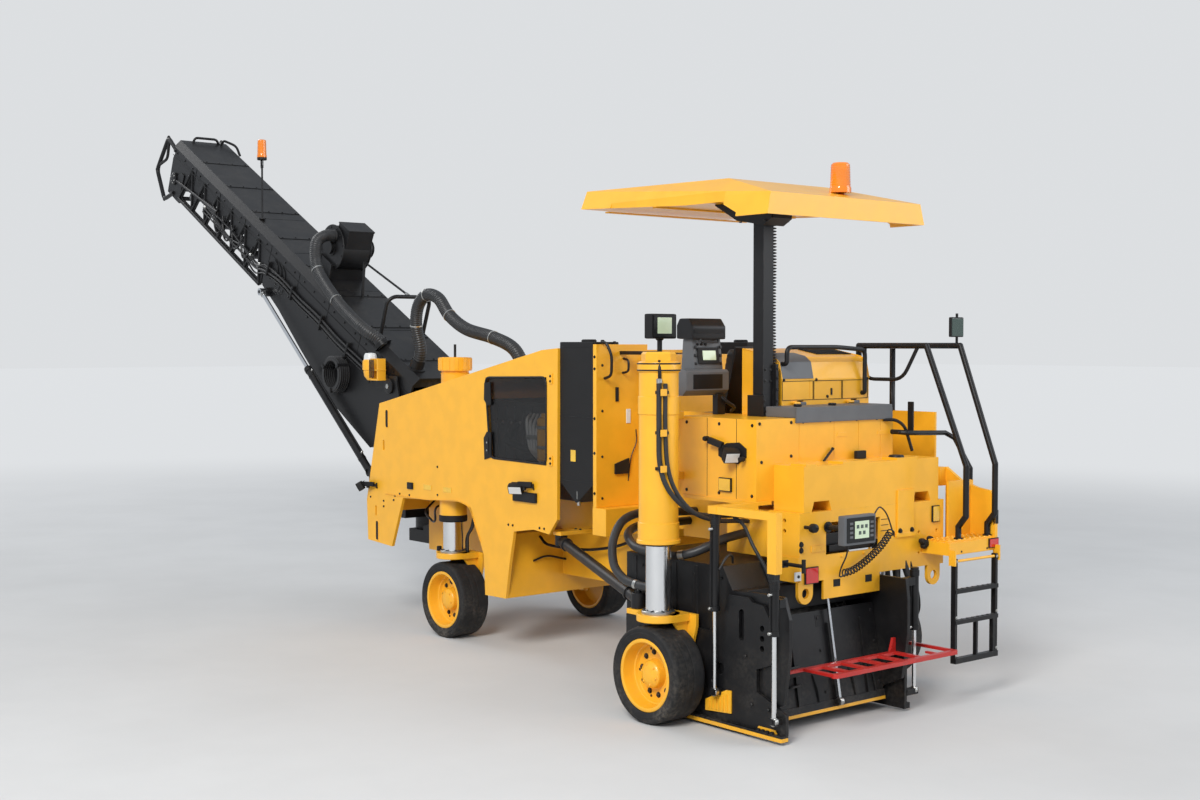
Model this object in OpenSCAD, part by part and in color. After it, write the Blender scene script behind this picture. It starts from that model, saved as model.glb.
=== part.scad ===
/* [Overall] */
// Length ahead of the rear wheel hubs, out to the conveyor's guard, in mm
reach_front = 10675; // [10000:5:11500]
// Length behind the rear wheel hubs, in mm
reach_rear = 1127; // [900:1:1300]
// Half width of the front body over its side panels, in mm
body_half = 980; // [900:5:1100]

/* [Wheels] */
// Tyre outer radius, in mm
tyre_r = 330; // [300:1:360]
// Tyre width, in mm
tyre_w = 280; // [220:5:320]
// Distance from the rear hubs to the front hubs, in mm
wheelbase = 3440; // [3200:10:3700]
// Sideways place of the front wheels from the centre line, in mm
front_track_half = 810; // [700:5:900]
// Sideways place of the rear left wheel when swung out, in mm
rear_left_y = 1490; // [1450:5:1600]
// Sideways place of the rear right wheel, in mm
rear_right_y = -790; // [-900:5:-700]

/* [Milling drum] */
// Radius over the tips of the picks, in mm
drum_tip_r = 490; // [450:5:500]
// Milling width, in mm
drum_width = 1220; // [1000:10:1250]
// Height of the drum's axis over the road, in mm
drum_z = 540; // [500:5:600]
// Place of the drum's axis behind the rear hubs, in mm
drum_x = -80; // [-150:5:0]

/* [Conveyor] */
// Slope of the discharge conveyor, in degrees
conveyor_slope = 28; // [20:0.5:35]
// Half width of the conveyor's side walls, in mm
conveyor_half = 360; // [300:5:420]

/* [Selection] */
// Which piece to draw

/* [Hidden] */
$fn = 48;
gap = 0.3;
fit = 0.05;
leg_y = front_track_half + 13;
leg_r = 88;
axle_r = 60;
hub_depth = 62;
left_end = rear_left_y + tyre_w / 2;
right_end = -1000;
frame_half = body_half - 30 - gap;
x_mid = (reach_front - reach_rear) / 2;
y_mid = (left_end + right_end) / 2;
swing_x = 500;
swing_y = 1100;
strut_pin = [1850, 870, 1000];
strut_eye = [230, 1470, 800];
slew_x = 4950;
lift_x = 5150;
lift_z = 2150;
lift_pin = [5450, 450, 1300];
loop_y = [790, -570];
loop_z = 885;
loop_hole_r = 34;
door_tilt = 10;
door_foot = [-730, 0, 80];
hitch_y = [-600, -400];
hitch_z = [1060, 1210];
hitch_hole_r = 11;
hood_pin = [-145, 2137];
hood_knuckle_y = [-380, 200];
lift_eye = [7706, 450, 3136];
blower_route = [[6578, 172.6, 3702], [6577, 300, 3695], [6555, 415, 3600], [6440, 462, 3330],
                [6070, 460, 3010], [5700, 460, 2790], [5540, 440, 2700], [5480, 361, 2660]];
leg_route = [[750, 441, 1300], [750, 700, 1310], [740, 950, 1330], [700, 1200, 1290], [640, 1350, 1160],
             [540, 1430, 1010], [390, 1470, 930], [230, 1486, 905], [90, 1490, 900]];
return_route = [[820, 441, 1220], [820, 700, 1220], [770, 1000, 1230], [640, 1220, 1190], [420, 1330, 1130],
                [150, 1350, 1110], [-80, 1320, 1130], [-180, 1200, 1200], [-200, 1020, 1250],
                [-200, 864, 1255]];
hood_route = [[4946.8, 225, 2333.4], [4858, 232, 2500], [4860, 280, 2740], [4790, 300, 2930],
              [4640, 300, 3030], [4440, 300, 2990], [4260, 300, 2830], [3980, 300, 2700],
              [3560, 300, 2620], [3270, 300, 2530], [3133, 300, 2394], [3101.4, 300, 2252.8]];
yellow = [0.93, 0.64, 0.13];
black = [0.09, 0.09, 0.09];
chrome = [0.8, 0.8, 0.82];
grey = [0.42, 0.43, 0.45];

module shift() { translate([-x_mid, -y_mid, 0]) children(); }
module box(a, b) { translate(a) cube(b - a); }
module xz(y0, y1) { translate([0, y1, 0]) rotate([90, 0, 0]) linear_extrude(y1 - y0) children(); }
module yz(x0, x1) { translate([x0, 0, 0]) rotate([90, 0, 90]) linear_extrude(x1 - x0) children(); }
module bar(a, b, r) {
  d = b - a;
  translate(a) rotate([0, acos(d.z / norm(d)), atan2(d.y, d.x)]) cylinder(r = r, h = norm(d));
}
module pipe(p, r) {
  for (i = [0 : len(p) - 2]) bar(p[i], p[i + 1], r);
  for (i = [1 : len(p) - 2]) translate(p[i]) sphere(r * 1.03);
}
function curve(p, i, t) = let(
  a = p[max(i - 1, 0)], b = p[i], c = p[i + 1], d = p[min(i + 2, len(p) - 1)])
  (2 * b + (c - a) * t + (2 * a - 5 * b + 4 * c - d) * t * t + (3 * b - a - 3 * c + d) * t * t * t) / 2;
module hose(p, r, side) {
  steps = 4;
  sides = 10;
  line = concat([for (i = [0 : len(p) - 2], k = [0 : steps - 1]) curve(p, i, k / steps)], [p[len(p) - 1]]);
  n = len(line);
  rings = [for (i = [0 : n - 1]) let(
    way = line[min(i + 1, n - 1)] - line[max(i - 1, 0)],
    across = cross(way, side), u = across / norm(across), w = cross(u, way) / norm(way))
    for (k = [0 : sides - 1]) line[i] + r * (cos(360 * k / sides) * u + sin(360 * k / sides) * w)];
  walls = [for (i = [0 : n - 2], k = [0 : sides - 1]) let(m = (k + 1) % sides, a = i * sides, b = a + sides)
    each [[a + k, b + k, b + m], [a + k, b + m, a + m]]];
  start = [for (k = [1 : sides - 2]) [0, k, k + 1]];
  end = [for (k = [1 : sides - 2]) [(n - 1) * sides, (n - 1) * sides + k + 1, (n - 1) * sides + k]];
  polyhedron(concat(rings), concat(walls, start, end));
}
module along_y(y0, y1) { translate([0, y1, 0]) rotate([90, 0, 0]) linear_extrude(y1 - y0) children(); }
module both() {
  children();
  mirror([0, 1, 0]) children();
}

module front_frame() {
  color(yellow) shift() {
    difference() {
      union() {
        both() box([1350, 300, 620], [4500, 380, 1300]);
        box([2450, -frame_half, 470], [2700, frame_half, 800]);
        both() box([2450, 380, 800], [2700, frame_half, 1000]);
        both() translate([wheelbase, leg_y, 1070]) cylinder(r = leg_r + 32, h = 600);
        both() box([wheelbase - 100, 380, 1200], [wheelbase + 100, leg_y - 60, 1300]);
        box([4300, -380, 620], [4500, 380, 720]);
        box([-190, -600, 1100], [1189.7, 440, 1489.7]);
        box([1189.7, -900, 1100], [1350, 960, 1309.7]);
        box([1800, 380, 1045], [1900, 915, 1075]);
      }
      both() translate([wheelbase, leg_y, 1060]) cylinder(r = leg_r + fit, h = 560);
    }
  }
}

module front_side() {
  polygon([[4400, 2020], [4630, 1120], [4610, 750], [4200, 725], [4010, 1180], [3130, 1215],
           [2950, 1180], [2760, 800], [2740, 465], [2450, 470], [2390, 800], [2335, 1035],
           [2070, 1075], [1870, 1055], [1765, 1180], [1755, 2530], [1960, 2515]]);
}
module window_shape() { polygon([[1900, 1610], [2660, 1620], [2730, 2285], [1900, 2300]]); }

module slot_hole(x, z, h) {
  translate([x, 0, z]) for (k = [-1, 1]) translate([0, 0, k * h / 2]) rotate([90, 0, 0])
    cylinder(r = 13, h = 2200, center = true);
  box([x - 13, -1100, z - h / 2], [x + 13, 1100, z + h / 2]);
}
module front_panels() {
  color(yellow) shift() both() difference() {
    xz(body_half - 30, body_half) front_side();
    xz(body_half - 40, body_half + 10) window_shape();
    slot_hole(4330, 1640, 70);
    slot_hole(4470, 1030, 70);
  }
}
module windows() {
  color(black) shift() both() {
    xz(body_half - 25, body_half - 8)
      polygon([[1900.4, 1610.4], [2659.6, 1620.4], [2729.6, 2284.6], [1900.4, 2299.6]]);
    translate([1990, body_half - 12, 1740]) rotate([90, 0, 0]) cylinder(r = 22, h = 20, center = true);
    xz(body_half - 10, body_half + 12) polygon([[1960, 1660], [2010, 1640], [2000, 2120], [1965, 2100]]);
  }
}
module front_cover() {
  color(yellow) shift() {
    xz(-body_half + 30 + gap, body_half - 30 - gap)
      polygon([[4385, 1960], [4600, 1110], [4600, 1000], [4575, 1000], [4350, 1900], [1760, 2490],
               [1760, 2515], [2100, 2470]]);
    translate([3877, 500, 2036]) {
      cylinder(r = 125, h = 285);
      translate([0, 0, 285]) cylinder(r = 150, h = 120);
    }
  }
}
module engine_block() {
  color(grey) shift() box([1900, -700, 1300.3], [3300, 700, 2080]);
}
module side_tanks() {
  color(black) shift() both()
    xz(700, 960) polygon([[1344.3, 1480], [1540, 1330], [1560, 1330], [1754.7, 1480],
                          [1754.7, 2580], [1344.3, 2580]]);
}
module mid_body() {
  color(yellow) shift() {
    box([1190.3, -949, 1310], [1344, 440, 2480]);
    box([1304, 440, 1310], [1344, 960, 2560]);
  }
}
module platform() {
  color(black) shift() {
    box([-419, -929.7, 1600.3], [-150.3, -440.3, 1615]);
    box([-150.4, -929.7, 1600.3], [300.8, -560.3, 1615]);
    box([300.3, -929.7, 1600.3], [1189.7, 419.7, 1615]);
  }
}
module rear_body() {
  color(yellow) shift() {
    translate([swing_x, swing_y, 1150]) cylinder(r = 30, h = 1100);
    for (z = [1190, 1600, 2030]) {
      translate([swing_x, swing_y, z]) cylinder(r = 70, h = 55);
      box([300, body_half - 1, z], [520, swing_y, z + 55]);
    }
    difference() {
      union() {
        box([-420, -950, 1490], [1190, body_half, 2050]);
        box([-440, 850, 1470], [300, body_half + 10, 1495]);
        box([-440, body_half - 1, 1440], [-360, 1375, 1492]);
        box([-985, 1318, 1440], [-360, 1372, 1492]);
        box([-985, 1318, 1100], [-905, 1372, 1492]);
      }
      box([370, 440, 1460], [1200, 1000, 2060]);
      box([-430, -930, 1600], [-150, -440, 2060]);
      box([-160, -930, 1600], [310, -560, 2060]);
      box([300, -930, 1600], [1200, 420, 2060]);
      for (y = [-300, -60, 200, 560]) box([-425, y - 1.5, 1750], [-415, y + 1.5, 2060]);
    }
  }
}
module beam_end() {
  polygon([[-617, 1740], [810, 1740], [810, 1430.3], [735, 1430.3], [710, 1500], [560, 1500],
           [535, 1430.3], [-330, 1430.3], [-355, 1500], [-500, 1500], [-530, 1430.3], [-617, 1430.3]]);
}
module rear_bumper() {
  color(yellow) shift() difference() {
    union() {
      box([-700, -680, 960], [-680, 850, 1430]);
      box([-700, 31, 830], [-682, 612, 970]);
      for (y = loop_y) {
        translate([-700, y, loop_z]) rotate([0, 90, 0]) cylinder(r = 72, h = 24);
        box([-700, y - 72, loop_z], [-676, y + 72, 959.7]);
        box([-700, y - 72, 950], [-680, y + 72, 965]);
      }
    }
    box([-710, 30, 1130], [-670, 590, 1350]);
    for (y = loop_y) translate([-710, y, loop_z]) rotate([0, 90, 0]) cylinder(r = loop_hole_r, h = 45);
    for (y = hitch_y, z = hitch_z) translate([-710, y, z]) rotate([0, 90, 0])
      cylinder(r = hitch_hole_r, h = 60);
  }
}
module bumper_tray() {
  color(yellow) shift() difference() {
    union() {
      xz(-680, 850) polygon([[-679.7, 960], [-500, 960], [-395, 1125], [-205, 1125], [-205, 1430],
                             [-679.7, 1430]]);
      box([-480, 845, 1110], [-20, 862, 1400]);
    }
    box([-690, -660, 900], [-225, 830, 1410]);
    for (z = [1300, 1370]) translate([-560, 0, z]) rotate([-90, 0, 0]) cylinder(r = 14, h = 900);
  }
}
module tool_beam() {
  color(yellow) shift() {
    yz(-700, -420.3) beam_end();
    for (y = [[-380, -150], [150, 420], [690, 790]]) box([-700, y[0], 1735], [-560, y[1], 1756]);
    box([-712, -330, 1215], [-700.3, -150, 1525]);
    box([-712, -330, 1430.3], [-699, -150, 1525]);
  }
}
module console() {
  color(grey) shift() {
    xz(530, 960) polygon([[300, 2230], [340, 2190], [520, 2190], [520, 2380], [320, 2380], [300, 2360]]);
    box([310, 560, 2050.3], [365, 640, 2200]);
    xz(500, 790) polygon([[395, 2375], [540, 2375], [520, 2600], [425, 2600]]);
    xz(480, 820) polygon([[385, 2600], [560, 2600], [560, 2700], [530, 2750], [430, 2750], [385, 2690]]);
    box([-420, -417, 2050.3], [-135.3, 603, 2125]);
    for (y = hood_knuckle_y) {
      translate([hood_pin.x, y, hood_pin.y]) rotate([-90, 0, 0]) cylinder(r = 10, h = 60);
      box([-155, y, 2124], [-135.3, y + 60, hood_pin.y]);
      translate([hood_pin.x, y + 50, hood_pin.y]) rotate([-90, 0, 0]) cylinder(r = 5, h = 65);
    }
    box([-436, -417, 2015], [-420.3, 603, 2125]);
    xz(600, 850) polygon([[790, 2600], [880, 2620], [880, 2790], [790, 2790]]);
    box([840, 700, 2480], [870, 730, 2615]);
    box([840, 700, 2480], [1303.7, 730, 2510]);
  }
}
module seat() {
  color(black) shift() {
    translate([820, 190, 1615.3]) cylinder(r = 130, h = 300);
    xz(0, 380) polygon([[590, 1900], [1010, 1900], [1020, 2010], [1000, 2040], [680, 2030], [600, 2060],
                        [520, 2560], [480, 2600], [440, 2580], [540, 1960]]);
  }
}
module mast() {
  color(black) shift() {
    box([-105, 495, 2050.3], [-5, 595, 3579.7]);
    box([-135, 470, 2050.3], [25, 496, 2420]);
    box([-135, 594, 2050.3], [25, 620, 2200]);
    xz(440, 650) polygon([[-230, 3500], [-230, 3440], [-150, 3395], [110, 3440], [330, 3560], [330, 3579.7],
                          [-230, 3579.7]]);
  }
}
module canopy() {
  color(yellow) shift() {
    difference() {
      hull() {
        box([-420, -785, 3447], [1640, 880, 3450]);
        box([-415, -745, 3598], [1635, 845, 3600]);
        translate([0, 0, 3748]) linear_extrude(2)
          polygon([[200, -400], [1610, -560], [1610, 800], [200, 640]]);
      }
      hull() {
        box([-405, -770, 3440], [1625, 865, 3441]);
        box([-400, -733, 3579], [1620, 830, 3580]);
      }
      xz(-900, 1000) polygon([[-110, 3400], [-110, 3474], [40, 3543], [1700, 3614], [1700, 3400]]);
      xz(835, 900) polygon([[30, 3500], [30, 3640], [210, 3672], [1270, 3655], [1280, 3560]]);
      translate([-200, -100, 3660]) cylinder(r = 81, h = 100);
    }
  }
}
module handrails() {
  color(black) shift() {
    pipe([[0, -940, 2050.3], [0, -940, 2550], [-640, -940, 2550], [-960, -940, 1690], [-960, -940, 1330],
          [-895, -940, 1250], [-895, -940, 1162.3]], 18);
    pipe([[0, -545, 2050.3], [0, -545, 2550], [-640, -545, 2550], [-960, -600, 1690], [-960, -600, 1330],
          [-895, -600, 1250], [-895, -600, 1162.3]], 18);
    pipe([[-715, -975, 1560.3], [-715, -975, 1640], [-580, -960, 1860], [-540, -900, 1900],
          [-540, -460, 1915], [-500, -428, 1920], [-420.3, -428, 1920]], 14);
  }
}
module step_box() {
  color(yellow) shift() {
    difference() {
      union() {
        box([-950, -990, 1060], [-712.3, -420, 1150]);
        box([-730, -990, 1060], [-712.3, -700, 1560]);
        xz(-990, -960) polygon([[-950, 1060], [-950, 1440], [-900, 1490], [-790, 1505], [-640, 1548],
                                [-500.3, 1640], [-500.3, 1060]]);
        for (x = [-930, -880, -830, -780]) box([x, -955, 1149], [x + 20, -430, 1162]);
        for (y = [-958, -442]) box([-1000, y, 990], [-945, y + 15, 1100]);
      }
      box([-930, -960, 1040], [-750, -450, 1130]);
    }
    box([-500.4, -960, 1500], [-420.3, -895, 1640]);
    translate([-975, -430, 1020]) rotate([90, 0, 0]) cylinder(r = 10, h = 520);
  }
}
module fittings() {
  color(black) shift() {
    translate([-600, -950, 2568.3]) cylinder(r = 10, h = 60);
    box([-625, -1000, 2610], [-600, -850, 2760]);
    box([-1000, 420, 1226], [-930, 740, 1430]);
    box([-930, 560, 1300], [-700.3, 600, 1340]);
    for (y = [120, 480]) translate([-330, y, 2125.3]) cylinder(r = 22, h = 18);
    xz(body_half + gap, 1010)
      polygon([[-250, 1760], [-130, 1800], [-60, 1780], [-60, 1850], [-150, 1870], [-250, 1820]]);
  }
}
module beacons() {
  color([0.95, 0.5, 0.05]) shift() translate([-200, -100, 3660.3]) {
    cylinder(r = 80, h = 40);
    translate([0, 0, 40]) cylinder(r1 = 76, r2 = 70, h = 180);
  }
}
module drum_box() {
  color(black) shift() {
    difference() {
      union() {
        xz(0, 1265) polygon([[590, 160], [590, 1080], [-390, 1080], [-485, 930], [-560, 930], [-560, 700],
                             [-600, 100], [500, 100]]);
        xz(1235, 1265) polygon([[-560, 930], [-650, 940], [-950, 940], [-1000, 800], [-1000, 560],
                                [-950, 240], [-600, 100], [-500, 900]]);
        xz(0, 30) polygon([[-560, 930], [-650, 940], [-930, 940], [-950, 800], [-950, 560], [-900, 240],
                           [-600, 100], [-500, 900]]);
        box([-190, 30, 1080], [560, 439, 1099.7]);
        for (x = [-150, 60, 270, 480]) box([x, 1264, 700], [x + 40, 1270.7, 1060]);
      }
      xz(30, 1235) polygon([[560, 90], [560, 1050], [-370, 1050], [-462, 900], [-530, 900], [-530, 760],
                            [-620, 760], [-620, 90]]);
      translate([drum_x, 1300, drum_z]) rotate([90, 0, 0]) cylinder(r = 80 + fit, h = 1400);
    }
  }
}
module upright_barrel(x, y, z0, z1, r, rod) {
  translate([x, y, z0]) difference() {
    cylinder(r = r, h = z1 - z0);
    translate([0, 0, -1]) cylinder(r = rod + fit, h = z1 - z0 - 40);
  }
}
module on_door() { translate(door_foot) rotate([0, door_tilt, 0]) children(); }
module cylinder_barrels() {
  color(black) shift() {
    upright_barrel(-400, 1345, 790, 1430, 30, 14);
    box([-425, 1315, 1395], [-375, 1372, 1439.7]);
    box([-970, 1322, 1020], [-920, 1368, 1099.7]);
    upright_barrel(-945, 1345, 700, 1060, 30, 16);
    box([-970, 1265.3, 880], [-920, 1322, 935]);
    on_door() upright_barrel(-62, 530, 820, 1290, 22, 12);
    box([-630, 500, 1330], [-530, 560, 1409.7]);
    upright_barrel(-880, -130, 560, 1000, 30, 14);
    box([-905, -110, 880], [-855, -0.3, 935]);
    box([-600, -320, 430.3], [-560, -296, 959.7]);
  }
}
module slew_base() {
  color(black) shift() {
    difference() {
      union() {
        box([4500.3, -300, 640], [4598, 300, 1000]);
        box([4590, -250, 640], [5050, 250, 760]);
        both() xz(230, 250) polygon([[4590, 640], [4800, 640], [4800, 800], [4590, 860]]);
        translate([slew_x, 0, 760]) cylinder(r = 200, h = 60);
      }
      translate([slew_x, 0, 600]) cylinder(r = 60.05, h = 300);
    }
  }
}
module fork_plate(t) {
  xz(0, t) polygon([[-210, 410], [210, 410], [210, 330], [110, -20], [70, -75], [-70, -75], [-110, -20],
                    [-210, 330]]);
}
module leg_foot(inner, outer) {
  difference() {
    union() {
      translate([0, 0, 360]) cylinder(r = 150, h = 50);
      xz(-inner, 0) polygon([[-150, 360], [150, 360], [150, 410], [-150, 410]]);
      translate([0, -inner - 26, 0]) fork_plate(26);
      translate([0, 0, 404]) cylinder(r = 115, h = 26);
    }
    translate([0, 0, 405]) cylinder(r = 60, h = 60);
  }
  translate([0, outer, 0]) rotate([90, 0, 0]) cylinder(r = axle_r, h = inner + outer + 20);
}
module rear_right_leg() {
  color(yellow) shift() translate([0, rear_right_y, tyre_r]) mirror([0, 1, 0])
    leg_foot(152, hub_depth - gap);
  color(yellow) shift() difference() {
    translate([0, rear_right_y, 735]) cylinder(r = 85, h = 754.7);
    translate([0, rear_right_y, 700]) cylinder(r = 60, h = 60);
  }
}
module engine_hood() {
  color(yellow) shift() {
    difference() {
      xz(-520, 419) polygon([[280, 2050.3], [-120, 2050.3], [-120, 2310], [-95, 2430], [-40, 2470],
                             [280, 2530]]);
      xz(-502, 401) polygon([[262, 2040], [-102, 2040], [-102, 2308], [-78, 2418], [-32, 2453],
                             [262, 2508]]);
      for (y = [-200, 130]) box([-125, y - 2, 2170], [-118, y + 2, 2300]);
      for (y = hood_knuckle_y) box([-160, y - 5, 2110], [-90, y + 60, 2155]);
    }
    for (y = hood_knuckle_y) difference() {
      union() {
        translate([hood_pin.x, y + 60 + gap, hood_pin.y]) rotate([-90, 0, 0]) cylinder(r = 10, h = 60);
        box([hood_pin.x, y + 60 + gap, hood_pin.y], [-119, y + 120 + gap, hood_pin.y + 10]);
      }
      translate([hood_pin.x, y, hood_pin.y]) rotate([-90, 0, 0]) cylinder(r = 5 + fit, h = 130);
    }
  }
}
module ladder() {
  color(black) shift() difference() {
    union() {
      for (y = [-940, -470]) box([-992, y, 290], [-952, y + 25, 1040]);
      box([-1000, -940, 290], [-960, -445, 330]);
      box([-1000, -940, 570], [-960, -445, 600]);
      box([-1000, -700, 330], [-970, -680, 572]);
      box([-1000, -940, 790], [-960, -445, 820]);
    }
    translate([-975, 0, 1020]) rotate([90, 0, 0]) cylinder(r = 10.05, h = 1200);
  }
}
module rear_guard() {
  color([0.75, 0.07, 0.05]) shift() {
    box([-1125, -320, 400], [-1085, 960, 430]);
    box([-860, 30.3, 405], [-830, 960, 428]);
    for (y = [40, 225, 410, 595, 780, 935]) box([-1090, y, 408], [-855, y + 25, 426]);
    box([-1090, -320, 405], [-560, -296, 430]);
    box([-1090, -150, 408], [-980, -125, 426]);
    box([-850, 940, 405], [-820, 1234.7, 428]);
    box([-850, 1200, 405], [-820, 1234.7, 520]);
    box([-850, 30.3, 428], [-830, 60, 520]);
  }
}
module milling_drum() {
  color(grey) shift() translate([drum_x, 0, drum_z]) {
    along_y(45, 1220) circle(r = drum_tip_r - 120);
    along_y(2, 45) circle(r = 80);
    along_y(1220, 1263) circle(r = 80);
    for (i = [0 : 35]) rotate([0, i * 50 + 4, 0]) translate([drum_tip_r - 125, 66 + i * 32.4, 0])
      rotate([0, 90, 0]) {
        cylinder(r = 27, h = 62);
        translate([0, 0, 60]) cylinder(r1 = 16, r2 = 5, h = 65);
      }
  }
}
module tyre() {
  rotate([90, 0, 0]) rotate_extrude($fn = 64)
    polygon([[250, -tyre_w / 2 + 10], [tyre_r - 25, -tyre_w / 2], [tyre_r, -tyre_w / 2 + 25],
             [tyre_r, tyre_w / 2 - 25], [tyre_r - 25, tyre_w / 2], [250, tyre_w / 2 - 10]]);
}
module rim() {
  rotate([90, 0, 0]) rotate_extrude($fn = 64)
    polygon([[0, hub_depth], [axle_r + fit, hub_depth], [axle_r + fit, -12], [100, -14], [190, -14],
             [212, -60], [222, -128], [249.7, -128], [249.7, 128], [228, 128], [220, 110], [210, 50],
             [200, 40], [190, 16], [108, 16], [100, 26], [96, 76], [70, 92], [0, 100]]);
}
module tyre_fl() { color(black) shift() translate([wheelbase, front_track_half, tyre_r]) tyre(); }
module tyre_fr() { color(black) shift() translate([wheelbase, -front_track_half, tyre_r]) tyre(); }
module tyre_rl() { color(black) shift() translate([0, rear_left_y, tyre_r]) tyre(); }
module tyre_rr() { color(black) shift() translate([0, rear_right_y, tyre_r]) tyre(); }
module rim_fl() {
  color(yellow) shift() translate([wheelbase, front_track_half, tyre_r]) mirror([0, 1, 0]) rim();
}
module rim_fr() {
  color(yellow) shift() translate([wheelbase, -front_track_half, tyre_r]) rim();
}
module rim_rl() { color(yellow) shift() translate([0, rear_left_y, tyre_r]) mirror([0, 1, 0]) rim(); }
module rim_rr() { color(yellow) shift() translate([0, rear_right_y, tyre_r]) rim(); }
module front_leg() {
  translate([wheelbase, leg_y, 735]) cylinder(r = leg_r, h = 850);
  translate([wheelbase, leg_y, tyre_r]) leg_foot(165, front_track_half + hub_depth - leg_y - gap);
}
module leg_fl() { color(chrome) shift() front_leg(); }
module leg_fr() { color(chrome) shift() mirror([0, 1, 0]) front_leg(); }
module swing_leg() {
  color(yellow) shift() {
    translate([0, rear_left_y, 735]) cylinder(r = 88, h = 500);
    translate([0, rear_left_y, 1220]) cylinder(r = 135, h = 1170);
    translate([0, rear_left_y, 2380]) cylinder(r = 146, h = 130);
    translate([0, rear_left_y, 1215]) cylinder(r = 150, h = 30);
    translate([0, rear_left_y, tyre_r]) leg_foot(152, hub_depth - gap);
    box([100, rear_left_y - 70, 705], [285, rear_left_y + 40, 740]);
    for (z = [1250, 2100]) difference() {
      union() {
        bar([0, rear_left_y, z + 50], [swing_x, swing_y, z + 50], 50);
        translate([swing_x, swing_y, z]) cylinder(r = 80, h = 100);
      }
      translate([swing_x, swing_y, z - 1]) cylinder(r = 30.05, h = 102);
    }
  }
}
module leg_strut() {
  color(black) shift() {
    bar(strut_pin, strut_eye, 42);
    translate(strut_pin - [0, 0, 40]) cylinder(r = 50, h = 84.7);
    translate([strut_eye.x, strut_eye.y, 740 + gap]) cylinder(r = 50, h = 110);
  }
}
module slew_frame() {
  color(black) shift() {
    translate([slew_x, 0, 640]) cylinder(r = 60, h = 181);
    translate([slew_x, 0, 820.3]) cylinder(r = 200, h = 60);
    box([4880, -400, 880], [5500, 400, 960]);
    both() xz(380, 400) polygon([[4880, 900], [5500, 900], [5560, 1300], [5400, 1450], [5260, 2250],
                                 [5040, 2250], [4900, 1700], [4880, 1200]]);
    both() translate([lift_x, 380, lift_z]) rotate([90, 0, 0]) cylinder(r = 40, h = 38);
    both() translate([lift_pin.x, 470, lift_pin.z]) rotate([90, 0, 0]) cylinder(r = 25, h = 75);
  }
}
module on_boom() { translate([lift_x, 0, lift_z]) rotate([0, -conveyor_slope, 0]) children(); }
module boom() {
  color(black) shift() on_boom() {
    difference() {
      union() {
        xz(-conveyor_half, conveyor_half)
          polygon([[-300, -400], [100, -760], [1000, -730], [1800, -560], [2450, -400], [2900, -330],
                   [3000, 100], [5700, 100], [5700, 250], [-300, 250]]);
        for (u = [60 : 705 : 5000]) box([u, -conveyor_half - 4, 105], [u + 40, conveyor_half + 4, 150]);
      }
      xz(-conveyor_half + 20, conveyor_half - 20)
        polygon([[-320, -380], [100, -730], [1000, -710], [1800, -535], [2450, -375], [2880, -305],
                 [2985, 125], [5800, 125], [5800, 150], [-320, 150]]);
      xz(-270, 270) polygon([[-320, 149], [5800, 149], [5800, 230], [-320, 230]]);
      both() yz(-400, 5800) polygon([[372, 150], [372, 270], [285, 270]]);
      both() translate([0, 400, 0]) rotate([90, 0, 0]) cylinder(r = 40.05, h = 100);
      for (u = [700 : 900 : 4500]) box([u, -290, 246], [u + 8, 290, 255]);
    }
    both() pipe([[5650, 347.3, 125], [5935, 347.3, 192], [6077, 347.3, -297], [5711, 347.3, -545],
                 [5500, 347.3, -360]], 17);
  }
  color(black) shift() both() translate([lift_eye.x, 405, lift_eye.z]) rotate([90, 0, 0])
    cylinder(r = 50, h = 60);
}
module boom_lattice() {
  color(black) shift() on_boom() {
    both() xz(conveyor_half - 50, conveyor_half - 30) difference() {
      polygon([[3000.5, -380], [5350, -380], [5350, 99.7], [3000.5, 99.7]]);
      for (i = [0 : 5]) polygon([[3040 + 385 * i, -340], [3380 + 385 * i, -340], [3210 + 385 * i, 60]]);
    }
    for (x = [3040, 5310]) box([x, -conveyor_half + 50, -380], [x + 40, conveyor_half - 50, -340]);
    both() xz(conveyor_half - 50, conveyor_half - 30)
      polygon([[5340, -430], [5700, -430], [5740, 0], [5700, 99.7], [5340, 99.7]]);
    translate([5560, conveyor_half - 30, -200]) rotate([90, 0, 0])
      cylinder(r = 150, h = 2 * conveyor_half - 60);
  }
}
module belt() {
  color([0.15, 0.15, 0.15]) shift() on_boom() xz(-250, 250) difference() {
    polygon([[-250, 125.3], [5690, 125.3], [5690, 215], [-250, 215]]);
    polygon([[-240, 135], [5680, 135], [5680, 205], [-240, 205]]);
  }
}
module blower() {
  color(black) shift() on_boom() {
    box([1850, -200, 250.3], [2150, 200, 420]);
    translate([2000, 170, 560]) rotate([90, 0, 0]) cylinder(r = 235, h = 340);
    translate([2000, 215, 560]) rotate([90, 0, 0]) cylinder(r = 68, h = 50);
    box([1780, -150, 560], [2010, 150, 850]);
  }
}
module boom_duct() {
  color(black) shift() hose(blower_route, 62, [1, 0, 1]);
}
module boom_beacon() {
  color([0.95, 0.5, 0.05]) shift() translate([8000, 280, 3956]) {
    cylinder(r = 14, h = 664);
    translate([0, 0, 660]) cylinder(r = 55, h = 30);
    translate([0, 0, 685]) cylinder(r1 = 52, r2 = 46, h = 205);
  }
}
module lift_barrels() {
  d = lift_eye - lift_pin;
  color(black) shift() both() difference() {
    union() {
      bar(lift_pin, lift_pin + d * 0.55, 38);
      translate(lift_pin + [0, 20, 0]) rotate([90, 0, 0]) cylinder(r = 50, h = 40);
    }
    translate(lift_pin + [0, 50, 0]) rotate([90, 0, 0]) cylinder(r = 25.05, h = 100);
    bar(lift_pin + d * 0.06, lift_pin + d * 0.56, 22.05);
  }
}
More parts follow.
